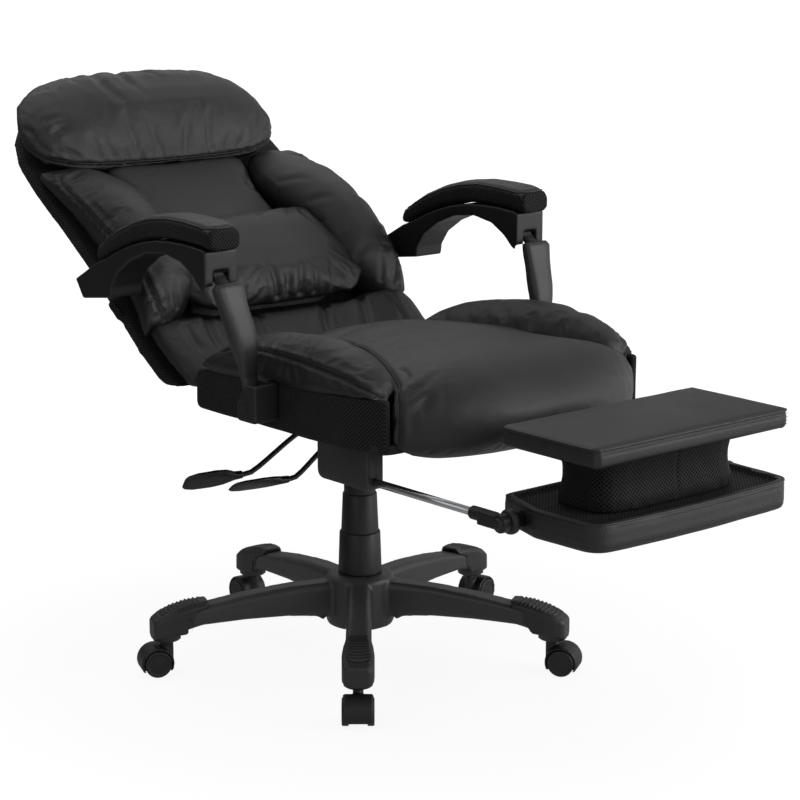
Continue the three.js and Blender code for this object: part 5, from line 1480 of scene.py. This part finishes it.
def make_room():
    floor_mesh = bpy.data.meshes.new("floor")
    bm = bmesh.new()
    bmesh.ops.create_grid(bm, x_segments=2, y_segments=2, size=30)
    bm.to_mesh(floor_mesh)
    bm.free()
    floor = new_piece("floor", floor_mesh)
    material, tree, skin = new_material("white floor")
    skin.inputs["Base Color"].default_value = (0.8, 0.8, 0.8, 1)
    skin.inputs["Roughness"].default_value = 0.9
    rays = shader_node(tree, "LightPath")
    place = shader_node(tree, "TexCoord").outputs["Object"]
    seen = calc(tree, "MAXIMUM", rays.outputs["Is Camera Ray"], rays.outputs["Is Transmission Ray"])
    shine = calc(tree, "MULTIPLY", rays.outputs["Is Glossy Ray"], side_glow(tree, place, 3.0))
    bright = calc(tree, "MAXIMUM", calc(tree, "MULTIPLY", seen, FLOOR_GLOW), shine)
    glow = shader_node(tree, "Emission", {"Color": (1, 1, 1, 1), "Strength": bright})
    shown = calc(tree, "MAXIMUM", seen, rays.outputs["Is Glossy Ray"])
    away = shader_node(tree, "VectorMath", {0: place}, operation="LENGTH")
    share = remap(tree, away.outputs["Value"], 0.5, 1.6, 0.82, 1.0)
    mixed = shader_node(
        tree,
        "MixShader",
        {0: calc(tree, "MULTIPLY", shown, share), 1: skin.outputs[0], 2: glow.outputs[0]},
    )
    out = next(n for n in tree.nodes if n.type == "OUTPUT_MATERIAL")
    tree.links.new(mixed.outputs[0], out.inputs["Surface"])
    floor_mesh.materials.append(material)

    world = bpy.data.worlds.new("white room")
    scene.world = world
    world.use_nodes = True
    tree = world.node_tree
    tree.nodes.clear()
    rays = shader_node(tree, "LightPath")
    way = shader_node(tree, "TexCoord").outputs["Generated"]
    seen = calc(tree, "MAXIMUM", rays.outputs["Is Camera Ray"], rays.outputs["Is Transmission Ray"])
    shine = calc(tree, "MULTIPLY", rays.outputs["Is Glossy Ray"], side_glow(tree, way, 1.0))
    not_shine = calc(tree, "SUBTRACT", 1.0, rays.outputs["Is Glossy Ray"])
    dim = calc(tree, "MULTIPLY", not_shine, ROOM_LIGHT)
    strength = calc(tree, "MAXIMUM", seen, calc(tree, "MAXIMUM", shine, dim))
    sky = shader_node(tree, "Background", {"Color": (1, 1, 1, 1), "Strength": strength})
    out = shader_node(tree, "OutputWorld")
    tree.links.new(sky.outputs[0], out.inputs["Surface"])


def make_lamp(name, place, aim, size, power):
    lamp = bpy.data.lights.new(name, "AREA")
    lamp.shape = "RECTANGLE"
    lamp.size, lamp.size_y = size
    lamp.energy = power
    made = bpy.data.objects.new(name, lamp)
    made.location = place
    made.rotation_euler = (Vector(aim) - Vector(place)).to_track_quat("-Z", "Y").to_euler()
    scene.collection.objects.link(made)


def make_camera():
    """Looks at the chair from where the photograph was taken."""
    turn, tilt = math.radians(-40.39), math.radians(12.58)
    aim_aside, aim_height, distance = 0.0618, 0.402, 3.554
    flat = Vector((math.sin(turn), -math.cos(turn), 0))
    back = flat * math.cos(tilt) + Vector((0, 0, math.sin(tilt)))
    side = Vector((math.cos(turn), math.sin(turn), 0))
    lens = bpy.data.cameras.new("camera")
    lens.sensor_width = 36
    lens.lens = 105.03
    lens.clip_end = 100
    camera = bpy.data.objects.new("camera", lens)
    aim = COLUMN + side * aim_aside + Vector((0, 0, aim_height))
    camera.location = aim + back * distance
    camera.rotation_euler = back.to_track_quat("Z", "Y").to_euler()
    scene.collection.objects.link(camera)
    scene.camera = camera


make_camera()
make_room()
make_lamp("ceiling lamp", place=(0.1, 1.5, 3.0), aim=(0, 0, 0.45), size=(5.0, 4.0), power=42)
make_lamp("front lamp", place=(1.9, -2.9, 1.5), aim=(0, 0, 0.45), size=(2.2, 2.2), power=50)
make_lamp("side lamp", place=(-3.4, -1.2, 1.8), aim=(0, 0, 0.4), size=(2.4, 2.4), power=14)
scene.view_settings.view_transform = "Standard"

make_cushion()
make_head_pillow()
make_lumbar_pillow()
make_back_panels()
make_back_shell()
for name, side in SIDES.items():
    make_bolster(name, side)
    make_side_panel(name, side)
    make_wing(name, side)
    make_arm(name, side)
make_footrest_board()
make_footrest_tray()
make_footrest_neck()
make_rods_and_knuckles()
make_lever_paddles()
make_base()
make_leg_caps()
for index in range(1, LEGS + 1):
    make_caster(index)
make_dust_covers()
make_plain_nodes()
